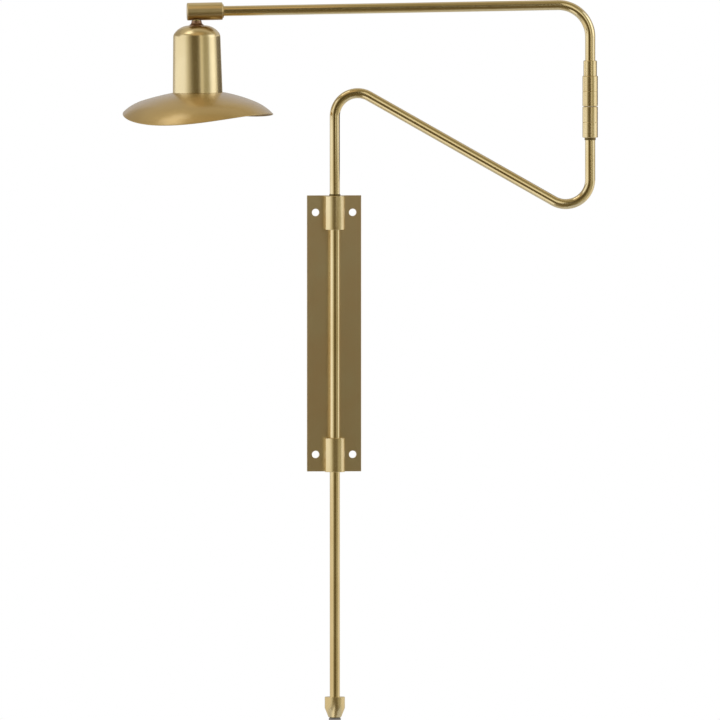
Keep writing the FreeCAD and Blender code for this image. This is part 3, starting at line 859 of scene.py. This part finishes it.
@dataclass
class LowerArm(Arm):
    """The post, the slanted run and what sits on them up to the elbow's gap."""

    foot_z: float = -351.0
    corner_z: float = 242.1
    elbow_corner_z: float = 105.027
    top_z: float = 195.227
    bends: Span = (21.6, 23.0)
    gland: Outline = ((4.77, -342.0), (9.5, -342.0), (9.5, -352.4), (5.9, -361.3), (4.22, -361.3),
                      (4.22, -351.0), (4.77, -351.0))
    gland_edge: float = 0.45
    grommet: Outline = ((3.2, -353.3), (4.2, -353.3), (4.2, -361.3), (5.0, -361.3), (5.0, -362.2),
                        (5.7, -362.2), (5.7, -364.4), (3.2, -364.4))
    grommet_edge: float = 0.3
    base_ring: Outline = ((4.77, 181.827), (5.27, 181.827), (5.27, 184.227), (4.77, 184.227))
    base_edge: float = 0.15
    sleeve: Span = (184.227, 213.227)
    sleeve_bores: Span = (4.77, 4.32)

    def build(self) -> None:
        """Model the tube, the gland with its grommet, the base ring and the lower sleeve."""
        up = Vector((0.0, 0.0, MM))
        line = [POST + up * self.foot_z, POST + up * self.corner_z, ELBOW + up * self.elbow_corner_z,
                ELBOW + up * self.top_z]
        self.make_tube("lower_arm_drawn", line, self.bends)
        self.turn("gland", "cord_gland_turned", self.gland, POST, self.gland_edge)
        self.turn("grommet", "gland_grommet_moulded", self.grommet, POST, self.grommet_edge)
        self.turn("base", "elbow_base_ring_turned", self.base_ring, ELBOW, self.base_edge)
        foot, top = self.sleeve
        tube_bore, spindle_bore = self.sleeve_bores
        sleeve = [(tube_bore, foot), *self.seamed_side(foot, top, (foot + top) / 2.0), (spindle_bore, top),
                  (spindle_bore, self.top_z), (tube_bore, self.top_z)]
        self.turn("sleeve", "elbow_lower_sleeve_turned", sleeve, ELBOW, self.sleeve_edge)

    def dress(self) -> None:
        """Give the lower arm its finishes."""
        body = "lower_arm"
        dress(self.pieces["tube"], DRAWN_BRASS, body, "satin_brass", "lower_arm_tube")
        dress(self.pieces["gland"], TURNED_BRASS, body, "satin_brass", "cord_gland")
        dress(self.pieces["grommet"], RUBBER, body, "grey_rubber", "gland_grommet")
        # The faces inside the grommet's groove get the painted shade.
        high, low = self.grommet[3][1] * MM, self.grommet[4][1] * MM
        dress_faces(self.pieces["grommet"], RUBBER_GROOVE_SHADED, lambda at, _: low < at.z < high)
        dress(self.pieces["base"], DARK_STEEL, body, "dark_steel", "elbow_base_ring")
        dress(self.pieces["sleeve"], TURNED_BRASS, body, "satin_brass", "elbow_lower_sleeve")


@dataclass
class UpperArm(Arm):
    """The upright above the elbow's gap and the run that reaches back to the head."""

    foot_z: float = 245.727
    corner_z: float = 309.527
    end_x: float = 10.1
    bend: float = 30.0
    sleeve: Span = (213.977, 242.227)
    seam_z: float = 227.727
    bush_bore: float = 5.67
    ferrule: Outline = ((4.77, 256.727), (4.77, 245.727), (3.1, 245.727), (3.1, 242.227), (6.15, 242.227),
                        (6.35, 242.427), (6.35, 256.327), (5.95, 256.727))

    def build(self) -> None:
        """Model the tube, the upper sleeve and the ferrule."""
        up = Vector((0.0, 0.0, MM))
        line = [ELBOW + up * self.foot_z, ELBOW + up * self.corner_z,
                head_frame() @ Vector((self.end_x * MM, 0.0, 0.0))]
        self.make_tube("upper_arm_drawn", line, [self.bend])
        foot, top = self.sleeve
        sleeve = [(self.bush_bore, foot), *self.seamed_side(foot, top, self.seam_z), (self.bush_bore, top)]
        self.turn("sleeve", "elbow_upper_sleeve_turned", sleeve, ELBOW, self.sleeve_edge)
        self.turn("ferrule", "elbow_ferrule_turned", self.ferrule, ELBOW, self.sleeve_edge)

    def dress(self) -> None:
        """Give the upper arm its finishes."""
        body = "upper_arm"
        dress(self.pieces["tube"], DRAWN_BRASS, body, "satin_brass", "upper_arm_tube")
        dress(self.pieces["sleeve"], TURNED_BRASS, body, "satin_brass", "elbow_upper_sleeve")
        dress(self.pieces["ferrule"], TURNED_BRASS, body, "satin_brass", "elbow_ferrule")


@dataclass
class HeadBlock:
    """The round block on the arm's end, its bush and screw, and the lampholder's shell."""

    block_r: float = 8.3
    ends: Span = (-8.8, 24.6)
    edge: float = 0.8
    sharp: float = 40.0
    bore: float = 5.92
    floor: float = 9.8
    bush: Outline = ((4.8, 25.6), (6.4, 25.6), (6.4, 24.6), (5.9, 24.6), (5.9, 11.6), (4.8, 11.6))
    bush_edge: float = 0.2
    screw_x: float = 13.6
    screw_r: float = 1.5
    screw_y: Span = (6.0, 7.8)
    screw_edge: float = 0.1
    screw_sides: int = 48
    screw_gap: float = 0.05
    screw_hole_y: Span = (5.5, 9.5)
    slot: tuple[float, float, float] = (4.0, 0.5, 1.4)
    shell_r: float = 13.3
    shell_gap: float = 0.02
    shell_wall: float = 0.45
    shell_z: Span = (-86.3, -61.3)
    shell_rim: float = 0.5
    shell_sharp: float = 50.0
    shell_steps: int = 72
    thread_pitch: float = 3.6
    thread_depth: float = 0.75
    thread_steps: int = 12
    pieces: dict[str, Piece] = field(default_factory=dict)

    def build(self) -> None:
        """Model the block, its bush, its screw and the threaded shell."""
        level = head_frame() @ Matrix.Rotation(math.radians(90.0), 4, "Y")
        self.pieces["block"] = self.make_block(level)
        bush = Bench.turn("tilt_bush_turned", self.bush, Vector())
        Bench.soften(bush, self.bush_edge)
        self.pieces["bush"] = Bench.carry(bush, level)
        self.pieces["screw"] = self.make_screw()
        self.pieces["shell"] = self.make_shell()

    def make_block(self, level: Matrix) -> Piece:
        """The block: a bar turned with a blind bore, with the tilt screw's hole in its back.

        Args:
            level: the place and turn of a piece that was turned upright and lies along the arm.

        Returns:
            The block.
        """
        free, mouth = self.ends
        outline = [(self.block_r, free), (self.block_r, mouth), (self.bore, mouth), (self.bore, self.floor)]
        block = Bench.skin("end_block_turned", outline, Vector())
        Bench.close_ends()
        Bench.tidy(block)
        Bench.soften(block, self.edge, self.sharp)
        Bench.carry(block, level)
        hole = [head_frame() @ Vector((self.screw_x * MM, y * MM, 0.0)) for y in self.screw_hole_y]
        Bench.cut(block, [Bench.rod((self.screw_r + self.screw_gap) * MM, *hole)])
        Bench.smooth(block, self.sharp)
        return block

    def make_screw(self) -> Piece:
        """The tilt screw's slotted head, sunk in the block's back.

        Returns:
            The screw.
        """
        foot, top = self.screw_y
        screw = Bench.skin("tilt_screw_slotted", [(self.screw_r, foot), (self.screw_r, top)], Vector(),
                           self.screw_sides)
        Bench.close_ends()
        Bench.tidy(screw)
        Bench.clear()
        bpy.ops.mesh.primitive_cube_add(size=1.0, location=(0.0, 0.0, top * MM),
                                        scale=[side * MM for side in self.slot])
        Bench.cut(screw, [bpy.context.active_object])
        Bench.soften(screw, self.screw_edge, self.sharp)
        place = Matrix.Translation(Vector((self.screw_x * MM, 0.0, 0.0)))
        return Bench.carry(screw, head_frame() @ place @ Matrix.Rotation(math.radians(-90.0), 4, "X"))

    def make_shell(self) -> Piece:
        """The lampholder's shell, with a rolled thread wound round it by the Screw modifier.

        Returns:
            The shell.
        """
        low, high = self.shell_z
        Bench.clear()
        bpy.ops.mesh.primitive_grid_add(x_subdivisions=1, y_subdivisions=self.thread_steps, size=1.0)
        shell = Bench.name_new("screw_shell_rolled")
        bpy.ops.object.mode_set(mode="EDIT")
        Bench.pick(shell, lambda at: at.x > 0.0)
        bpy.ops.mesh.delete(type="VERT")
        mesh = bmesh.from_edit_mesh(shell.data)
        for vertex in mesh.verts:
            share = vertex.co.y + 0.5
            wave = 0.5 - 0.5 * math.cos(2.0 * math.pi * share)
            radius = self.shell_r - self.shell_gap - self.thread_depth * wave
            vertex.co = Vector((radius, 0.0, low - self.thread_pitch * (1.0 - share))) * MM
        bmesh.update_edit_mesh(shell.data)
        bpy.ops.object.mode_set(mode="OBJECT")
        turns = math.ceil((high - low) / self.thread_pitch) + 2
        Bench.modify(shell, "SCREW", axis="Z", angle=2.0 * math.pi, screw_offset=self.thread_pitch * MM,
                     iterations=turns, steps=self.shell_steps, render_steps=self.shell_steps,
                     use_merge_vertices=True, merge_threshold=Bench.NEAR)
        bpy.ops.object.mode_set(mode="EDIT")
        for height, way in ((low, -1.0), (high - self.shell_rim, 1.0)):
            bpy.ops.mesh.select_all(action="SELECT")
            bpy.ops.mesh.bisect(plane_co=(0.0, 0.0, height * MM), plane_no=(0.0, 0.0, way), clear_outer=True)
        Bench.tidy(shell)
        Bench.modify(shell, "SOLIDIFY", thickness=self.shell_wall * MM, offset=0.0)
        Bench.soften(shell, 0.0, self.shell_sharp)
        return Bench.carry(shell, head_frame())

    def dress(self) -> None:
        """Give the block and the shell their finishes."""
        body = "head_block"
        dress(self.pieces["block"], BLOCK_BRASS, body, "satin_brass", "end_block")
        dress(self.pieces["bush"], BLOCK_BRASS, body, "satin_brass", "tilt_bush")
        dress(self.pieces["screw"], ZINC_STEEL, body, "zinc_steel", "tilt_screw")
        dress(self.pieces["shell"], CONTACT, body, "contact_brass", "screw_shell")


def arc_points(middle: Span, radius: float, start: float, sweep: float, steps: int) -> list[Span]:
    """Points on an arc of a section.

    Args:
        middle: radius and height of the arc's middle.
        radius: the arc's own radius.
        start: where it starts, in radians from straight up, outward.
        sweep: how far it runs on, in radians.
        steps: how many steps it has.

    Returns:
        Radius and height of each point, both ends included.
    """
    turns = [start + sweep * i / steps for i in range(steps + 1)]
    return [(middle[0] + radius * math.sin(turn), middle[1] + radius * math.cos(turn)) for turn in turns]


@dataclass
class ShadeHead:
    """The neck collar, the cup and the wavy shade."""

    collar_z: Span = (-8.6, -13.05)
    collar_r: tuple[float, float, float] = (4.05, 4.75, 6.85)
    collar_steps: Span = (0.8, 0.5)
    collar_edge: float = 0.12
    cove_steps: int = 14
    cup_bore: float = 4.3
    crown_r: float = 7.0
    crown_z: float = -13.05
    crown_h: float = 10.9
    crown_steps: int = 20
    shoulder_r: float = 6.4
    shoulder_steps: int = 14
    cup_top_r: float = 22.2
    cup_foot_r: float = 23.4
    foot_z: float = -76.3
    cup_wall: float = 1.2
    edge: float = 0.25
    sharp: float = 40.0
    hole_r: float = 19.3
    seat_r: float = 24.3
    rim_r: float = 70.95
    dome_r: float = 133.0
    lip_w: float = 17.0
    lip_r: float = 50.5
    shade_wall: float = 1.0
    shade_sharp: float = 50.0
    shade_rings: int = 30
    shade_sides: int = 192
    wave: float = 4.5
    high_at: float = -39.6
    dip: float = 3.0
    low_at: float = -70.5
    inward: float = -0.05
    pieces: dict[str, Piece] = field(default_factory=dict)

    def build(self) -> None:
        """Model the three pieces in the head's own frame and carry them to it."""
        collar = Bench.turn("neck_collar_turned", self.collar_outline(), Vector())
        Bench.soften(collar, self.collar_edge, self.sharp)
        cup = Bench.turn("cup_spun", self.cup_outline(), Vector(), Bench.FINE_SIDES)
        Bench.soften(cup, self.edge, self.sharp)
        self.pieces = {"collar": collar, "cup": cup, "shade": self.make_shade()}
        for piece in self.pieces.values():
            Bench.carry(piece, head_frame())

    def collar_outline(self) -> list[Span]:
        """The neck collar's section, with a smooth cove.

        Returns:
            Radius and height of each corner.
        """
        (top, foot), (bore, slim, wide), (upright, land) = self.collar_z, self.collar_r, self.collar_steps
        flare, fall = wide - slim, top - upright - foot - land
        cove = (flare ** 2 + fall ** 2) / (2.0 * flare)
        sweep = math.asin(fall / cove)
        curve = arc_points((slim + cove, top - upright), cove, -math.pi / 2.0, -sweep, self.cove_steps)
        return [(bore, top), (slim, top), *curve, (wide, foot), (bore, foot)]

    def cup_side(self, inset: float) -> list[Span]:
        """One side of the cup's wall from crown to foot.

        Args:
            inset: how far it lies inside the outer side.

        Returns:
            Radius and height of each corner.
        """
        bend, fall = self.shoulder_r, self.crown_h
        shoulder = (self.cup_top_r - bend, self.crown_z - fall)
        span = shoulder[0] - self.crown_r
        crown = (span ** 2 + fall ** 2 - bend ** 2) / (2.0 * (fall - bend))
        middle = (self.crown_r, self.crown_z - crown)
        lean = math.atan2(span, shoulder[1] - middle[1])
        side = arc_points(middle, crown - inset, 0.0, lean, self.crown_steps)
        side += arc_points(shoulder, bend - inset, lean, math.pi / 2.0 - lean, self.shoulder_steps)[1:]
        return side + [(self.cup_foot_r - inset, self.foot_z)]

    def cup_outline(self) -> list[Span]:
        """The cup's section: its outside down to the foot and its inside back up."""
        inner = reversed(self.cup_side(self.cup_wall))
        return [(self.cup_bore, self.crown_z), *self.cup_side(0.0), *inner,
                (self.cup_bore, self.crown_z - self.cup_wall)]

    def dome(self, radius: float) -> float:
        """How far the shade's dome lies below its crown at a radius."""
        return self.dome_r - math.sqrt(self.dome_r ** 2 - radius ** 2)

    def drop(self, radius: float) -> float:
        """How far the shade's skin lies below its seat, before the brim's wave.

        Args:
            radius: where on the shade.

        Returns:
            The depth below the seat.
        """
        turn_r = self.rim_r - self.lip_w
        if radius <= turn_r:
            return max(0.0, self.dome(radius) - self.dome(self.seat_r))
        start = math.asin(turn_r / self.dome_r)
        end = math.asin(turn_r / self.dome_r + (radius - turn_r) / self.lip_r)
        return self.dome(turn_r) - self.dome(self.seat_r) + self.lip_r * (math.cos(start) - math.cos(end))

    def make_shade(self) -> Piece:
        """The shade: a dish drawn ring by ring, then bent into two rises and two dips, one side lower.

        Returns:
            The shade.
        """
        reach, rings = self.rim_r - self.seat_r, self.shade_rings
        radii = [self.hole_r, *(self.seat_r + reach * i / rings for i in range(rings + 1))]
        shade = Bench.skin("shade_wavy", [(r, self.foot_z - self.drop(r)) for r in radii], Vector(),
                           self.shade_sides)
        Bench.tidy(shade)
        mesh = shade.data
        for vertex in mesh.vertices:
            share = max(0.0, (math.hypot(vertex.co.x, vertex.co.y) / MM - self.seat_r) / reach)
            angle = math.atan2(vertex.co.y, vertex.co.x)
            bend = self.wave * math.cos(2.0 * (angle - math.radians(self.high_at)))
            bend -= self.dip * math.cos(angle - math.radians(self.low_at))
            vertex.co.z += bend * share ** 2 * MM
        if sum(face.normal.z for face in mesh.polygons) < 0.0:
            mesh.flip_normals()
        Bench.thicken(shade, self.shade_wall * MM)
        Bench.soften(shade, self.edge, self.shade_sharp)
        return shade

    def dress(self) -> None:
        """Give the shade head its finishes."""
        body = "shade_head"
        dress(self.pieces["collar"], NECK_SHADED_BRASS, body, "satin_brass", "neck_collar")
        dress(self.pieces["cup"], SPUN_BRASS, body, "satin_brass", "cup")
        dress(self.pieces["shade"], SHADE_BRASS, body, "shade_brass", "shade")
        back = head_frame().inverted()

        def inside(at: Vector, normal: Vector) -> bool:
            """Whether a face of the shade looks towards the head's upright line."""
            out = back @ at
            return (back.to_3x3() @ normal).dot(Vector((out.x, out.y, 0.0)).normalized()) < self.inward

        # The faces that look inward get the darker finish: painted shade inside the shade.
        dress_faces(self.pieces["shade"], SHADE_INSIDE_SHADED, inside)


@dataclass
class InnerNodes:
    """The CAD nodes that stay as they are, with the finish of each."""

    finishes: dict[Finish, tuple[str, ...]] = field(default_factory=lambda: {
        BRONZE: ("upper_collar_bush", "lower_collar_bush", "elbow_bush_lower", "elbow_bush_upper"),
        DARK_STEEL: ("post_stop_ring", "spindle_clip"),
        ZINC_STEEL: ("collar_screws", "elbow_spindle", "neck_nipple", "nipple_locknut", "terminal_screws"),
        FIBRE: ("elbow_thrust_washer", "swivel_washer"),
        SHEATH: ("lower_flex", "upper_flex", "head_flex"),
        PHENOLIC: ("lampholder_cap", "lampholder_body", "shade_ring"),
        PORCELAIN: ("lampholder_insert",),
        CONTACT: ("centre_contact",),
    })

    def dress(self) -> None:
        """Put the finishes on the nodes."""
        for finish, names in self.finishes.items():
            for name in names:
                node = frame["nodes"][name]
                node.data.materials.clear()
                node.data.materials.append(finish.make())
                LOG.info("%s: CAD node, %s", name, finish.name)


# The studio

ROOM_RADIUS = 7.5
ROOM_HEIGHTS = (-6.5, 7.0)
POST_RADIUS = 1.2
POST_HEIGHTS = (-0.75, 0.12)
FOOT_HEIGHTS = (-0.75, -0.2)


@dataclass(frozen=True)
class Card:
    """A curved card, which the metal reflects and the camera doesn't see.

    Args:
        name: the card's name.
        arc: its ends, as angles from straight in front, to the right.
        heights: its lower and upper edge.
        light: how bright it is, in linear red, green and blue.
        radius: how far it hangs from its middle.
        middle: the upright line that it hangs round.
        sides: sides of the whole cylinder, so that points stand on even degrees.
        slack: how far beyond its ends a point still counts as on it, in degrees.
    """

    name: str
    arc: Span
    heights: Span
    light: RGB
    radius: float = ROOM_RADIUS
    middle: Span = (0.0, 0.0)
    sides: int = 180
    slack: float = 0.5

    def build(self) -> Piece:
        """Model the card as a part of an open cylinder.

        Returns:
            The card.
        """
        Bench.clear()
        low, high = self.heights
        bpy.ops.mesh.primitive_cylinder_add(vertices=self.sides, radius=self.radius, depth=high - low,
                                            end_fill_type="NOTHING",
                                            location=(*self.middle, (low + high) / 2.0))
        card = Bench.name_new(self.name)
        bpy.ops.object.mode_set(mode="EDIT")
        Bench.pick(card, self.misses)
        bpy.ops.mesh.delete(type="VERT")
        Bench.tidy(card)
        return card

    def misses(self, at: Vector) -> bool:
        """Whether a point of the cylinder lies beyond the card's ends.

        Args:
            at: the point.

        Returns:
            True if it does.
        """
        start, end = self.arc
        angle = math.degrees(math.atan2(at.x - self.middle[0], self.middle[1] - at.y))
        return (angle - start + self.slack) % 360.0 > end - start + 2.0 * self.slack


@dataclass(frozen=True)
class LevelCard:
    """A level card above or below the lamp, which the metal reflects and the camera doesn't see.

    Args:
        name: the card's name.
        place: its middle.
        size: its width and its depth.
        light: how bright it is, in linear red, green and blue.
        turn: how far it is turned, in degrees.
        squares: squares of its mesh in a row.
    """

    name: str
    place: tuple[float, float, float]
    size: Span
    light: RGB
    turn: float = 0.0
    squares: int = 8

    def build(self) -> Piece:
        """Model the card as a grid.

        Returns:
            The card.
        """
        Bench.clear()
        bpy.ops.mesh.primitive_grid_add(x_subdivisions=self.squares, y_subdivisions=self.squares, size=1.0,
                                        location=self.place)
        card = Bench.name_new(self.name)
        card.scale = (*self.size, 1.0)
        card.rotation_euler.z = math.radians(self.turn)
        return card


@dataclass(frozen=True)
class SoftBox:
    """A square lamp.

    Args:
        name: the lamp's name.
        place: where it hangs.
        size: its side.
        power: its power in watts.
    """

    name: str
    place: tuple[float, float, float]
    size: float
    power: float

    def build(self, aim: Vector) -> None:
        """Hang the lamp.

        Args:
            aim: the point that it looks at.
        """
        data = bpy.data.lights.new(self.name, "AREA")
        data.shape = "SQUARE"
        data.size = self.size
        data.energy = self.power
        lamp = bpy.data.objects.new(self.name, data)
        lamp.location = self.place
        lamp.visible_camera = False
        lamp.rotation_euler = (aim - Vector(self.place)).to_track_quat("-Z", "Y").to_euler()
        bpy.context.scene.collection.objects.link(lamp)


def glow(name: str, light: RGB) -> bpy.types.Material:
    """A material that only gives light, for a card.

    Args:
        name: the material's name.
        light: the light, in linear red, green and blue.

    Returns:
        The material.
    """
    material = start_material(name)
    tree = material.node_tree
    tree.nodes.clear()
    shine = add_node(tree, "ShaderNodeEmission", {"Color": (*light, 1.0)})
    add_node(tree, "ShaderNodeOutputMaterial", {"Surface": shine.outputs["Emission"]})
    return material


@dataclass
class Studio:
    """Camera, white background, floor, cards and lamps."""

    aim: Vector = field(default_factory=lambda: Vector((23.75, -12.617, -24.7)) * MM)
    azimuth: float = -4.0
    elevation: float = 2.6
    distance: float = 30.0
    sensor_mm: float = 36.0
    lens_mm: float = 1594.05
    sight: float = 80.0
    soft_light: float = 0.6
    floor_z: float = -0.9
    floor_r: float = 1.6
    floor_colour: RGB = (0.82, 0.82, 0.81)
    floor_rough: float = 0.9
    cards: tuple[Card | LevelCard, ...] = (
        Card("left_soft_card", (-62.0, -52.0), ROOM_HEIGHTS, (0.84, 0.81, 0.74)),
        Card("left_half_card", (-52.0, -42.0), ROOM_HEIGHTS, (0.54, 0.5, 0.4)),
        Card("left_dim_card", (-42.0, -32.0), ROOM_HEIGHTS, (0.27, 0.235, 0.16)),
        Card("front_card", (-32.0, 10.0), (-6.5, 2.2), (0.087, 0.065, 0.024)),
        Card("run_upper_card", (6.0, 10.0), (0.6, 1.4), (0.9, 0.87, 0.79), 7.3),
        Card("front_middle_card", (-32.0, 10.0), (2.2, 4.4), (0.11, 0.088, 0.046)),
        Card("front_upper_card", (-32.0, 10.0), (4.4, 7.0), (0.15, 0.122, 0.072)),
        Card("strip_card", (10.0, 24.0), ROOM_HEIGHTS, (0.94, 0.88, 0.72)),
        Card("side_card", (24.0, 56.0), ROOM_HEIGHTS, (0.37, 0.345, 0.24)),
        Card("rear_right_card", (96.0, 150.0), (-4.0, 1.6), (0.75, 0.7, 0.62)),
        Card("rear_card", (150.0, 226.0), (-4.0, 1.6), (0.5, 0.47, 0.43)),
        Card("rear_upper_card", (96.0, 200.0), (1.6, 7.0), (0.54, 0.52, 0.52)),
        Card("rear_left_card", (200.0, 262.0), (1.6, 7.0), (0.37, 0.33, 0.27)),
        Card("post_soft_card", (-50.0, -38.0), POST_HEIGHTS, (0.7, 0.66, 0.55), POST_RADIUS),
        Card("post_half_card", (-38.0, -28.0), POST_HEIGHTS, (0.45, 0.405, 0.29), POST_RADIUS),
        Card("post_dim_card", (-28.0, -14.0), POST_HEIGHTS, (0.24, 0.2, 0.115), POST_RADIUS),
        Card("post_front_card", (-14.0, 22.0), POST_HEIGHTS, (0.122, 0.092, 0.037), POST_RADIUS),
        Card("post_strip_edge_card", (22.0, 36.0), POST_HEIGHTS, (0.24, 0.205, 0.12), POST_RADIUS),
        Card("post_strip_card", (36.0, 50.0), POST_HEIGHTS, (0.45, 0.405, 0.28), POST_RADIUS),
        Card("post_side_card", (50.0, 78.0), POST_HEIGHTS, (0.37, 0.345, 0.235), POST_RADIUS),
        Card("foot_left_card", (210.0, 310.0), FOOT_HEIGHTS, (0.75, 0.68, 0.55), POST_RADIUS),
        Card("foot_right_card", (66.0, 150.0), FOOT_HEIGHTS, (0.75, 0.69, 0.58), POST_RADIUS),
        Card("cup_flag", (102.0, 150.0), (0.13, 0.32), (0.12, 0.105, 0.09), 0.55, (-0.1285, -0.0126)),
        LevelCard("ceiling_front_card", (0.0, -7.2, 6.5), (15.0, 15.0), (0.3, 0.25, 0.14)),
        LevelCard("ceiling_rear_card", (0.0, 7.8, 6.5), (15.0, 15.0), (0.54, 0.49, 0.4)),
        LevelCard("head_card", (-0.15, -0.29, 0.66), (0.36, 0.36), (0.54, 0.41, 0.24)),
        LevelCard("apron_card", (0.0, -4.6, -0.85), (7.6, 7.6), (0.1, 0.08, 0.045)),
        LevelCard("near_apron_card", (0.0, -0.88, -0.84), (0.8, 0.8), (0.2, 0.165, 0.1)),
        LevelCard("foot_apron_card", (0.0, -0.28, -0.83), (0.4, 0.4), (0.38, 0.335, 0.24)),
        LevelCard("run_strip", (-0.165, -2.6, -0.82), (0.42, 4.8), (0.95, 0.92, 0.85), 4.75),
    )
    lamps: tuple[SoftBox, ...] = (
        SoftBox("left_box", (-1.95, -0.25, 4.2), 1.7, 13.5),
        SoftBox("right_box", (2.8, -0.6, 1.0), 1.6, 4.0),
    )

    def build(self) -> None:
        """Set up the whole studio."""
        self.make_camera()
        self.make_world()
        self.make_floor()
        for card in self.cards:
            self.hang(card)
        for lamp in self.lamps:
            lamp.build(self.aim)
        bpy.context.scene.view_settings.view_transform = "Standard"

    def make_camera(self) -> None:
        """The camera, at the photograph's angle."""
        a, e = math.radians(self.azimuth), math.radians(self.elevation)
        back = Vector((math.sin(a) * math.cos(e), -math.cos(a) * math.cos(e), math.sin(e)))
        data = bpy.data.cameras.new("photo_camera")
        data.type = "PERSP"
        data.sensor_width = self.sensor_mm
        data.lens = self.lens_mm
        data.clip_end = self.sight
        camera = bpy.data.objects.new("photo_camera", data)
        camera.location = self.aim + back * self.distance
        camera.rotation_euler = (-back).to_track_quat("-Z", "Y").to_euler()
        bpy.context.scene.collection.objects.link(camera)
        bpy.context.scene.camera = camera

    def make_world(self) -> None:
        """White where it is seen, directly or in metal and glass, and a soft white light elsewhere."""
        world = bpy.data.worlds.new("white_studio")
        bpy.context.scene.world = world
        world.use_nodes = True
        tree = world.node_tree
        tree.nodes.clear()
        path = add_node(tree, "ShaderNodeLightPath").outputs
        seen = reckon(tree, "MAXIMUM", path["Is Camera Ray"], path["Is Glossy Ray"])
        seen = reckon(tree, "MAXIMUM", seen, path["Is Transmission Ray"])
        white = (1.0, 1.0, 1.0, 1.0)
        soft = add_node(tree, "ShaderNodeBackground", {"Color": white, "Strength": self.soft_light})
        full = add_node(tree, "ShaderNodeBackground", {"Color": white, "Strength": 1.0})
        mix = add_node(tree, "ShaderNodeMixShader", {"Fac": seen, 1: soft.outputs[0], 2: full.outputs[0]})
        add_node(tree, "ShaderNodeOutputWorld", {"Surface": mix.outputs[0]})

    def make_floor(self) -> None:
        """A plain pale floor below the lamp."""
        Bench.clear()
        bpy.ops.mesh.primitive_circle_add(vertices=Bench.SIDES, radius=self.floor_r, fill_type="NGON",
                                          location=(0.0, 0.0, self.floor_z))
        floor = Bench.name_new("floor")
        material = start_material("pale_floor")
        feed(material.node_tree, material.node_tree.nodes["Principled BSDF"], {
            "Base Color": (*self.floor_colour, 1.0), "Roughness": self.floor_rough})
        floor.data.materials.append(material)

    def hang(self, plan: Card | LevelCard) -> None:
        """Hang a card where only reflections see it.

        Args:
            plan: the card's form, place and light.
        """
        card = plan.build()
        card.data.materials.append(glow(card.name, plan.light))
        card.visible_camera = False
        card.visible_diffuse = False
        card.visible_shadow = False
        LOG.info("%s hung", card.name)


def main() -> None:
    """Build the studio and the lamp, from the wall out to the shade."""
    logging.basicConfig(level=logging.INFO, format="%(name)s: %(message)s")
    Studio().build()
    for assembly in (WallBracket(), LowerArm(), UpperArm(), HeadBlock(), ShadeHead()):
        assembly.build()
        assembly.dress()
    InnerNodes().dress()
    Bench.clear()


if __name__ == "__main__":
    main()
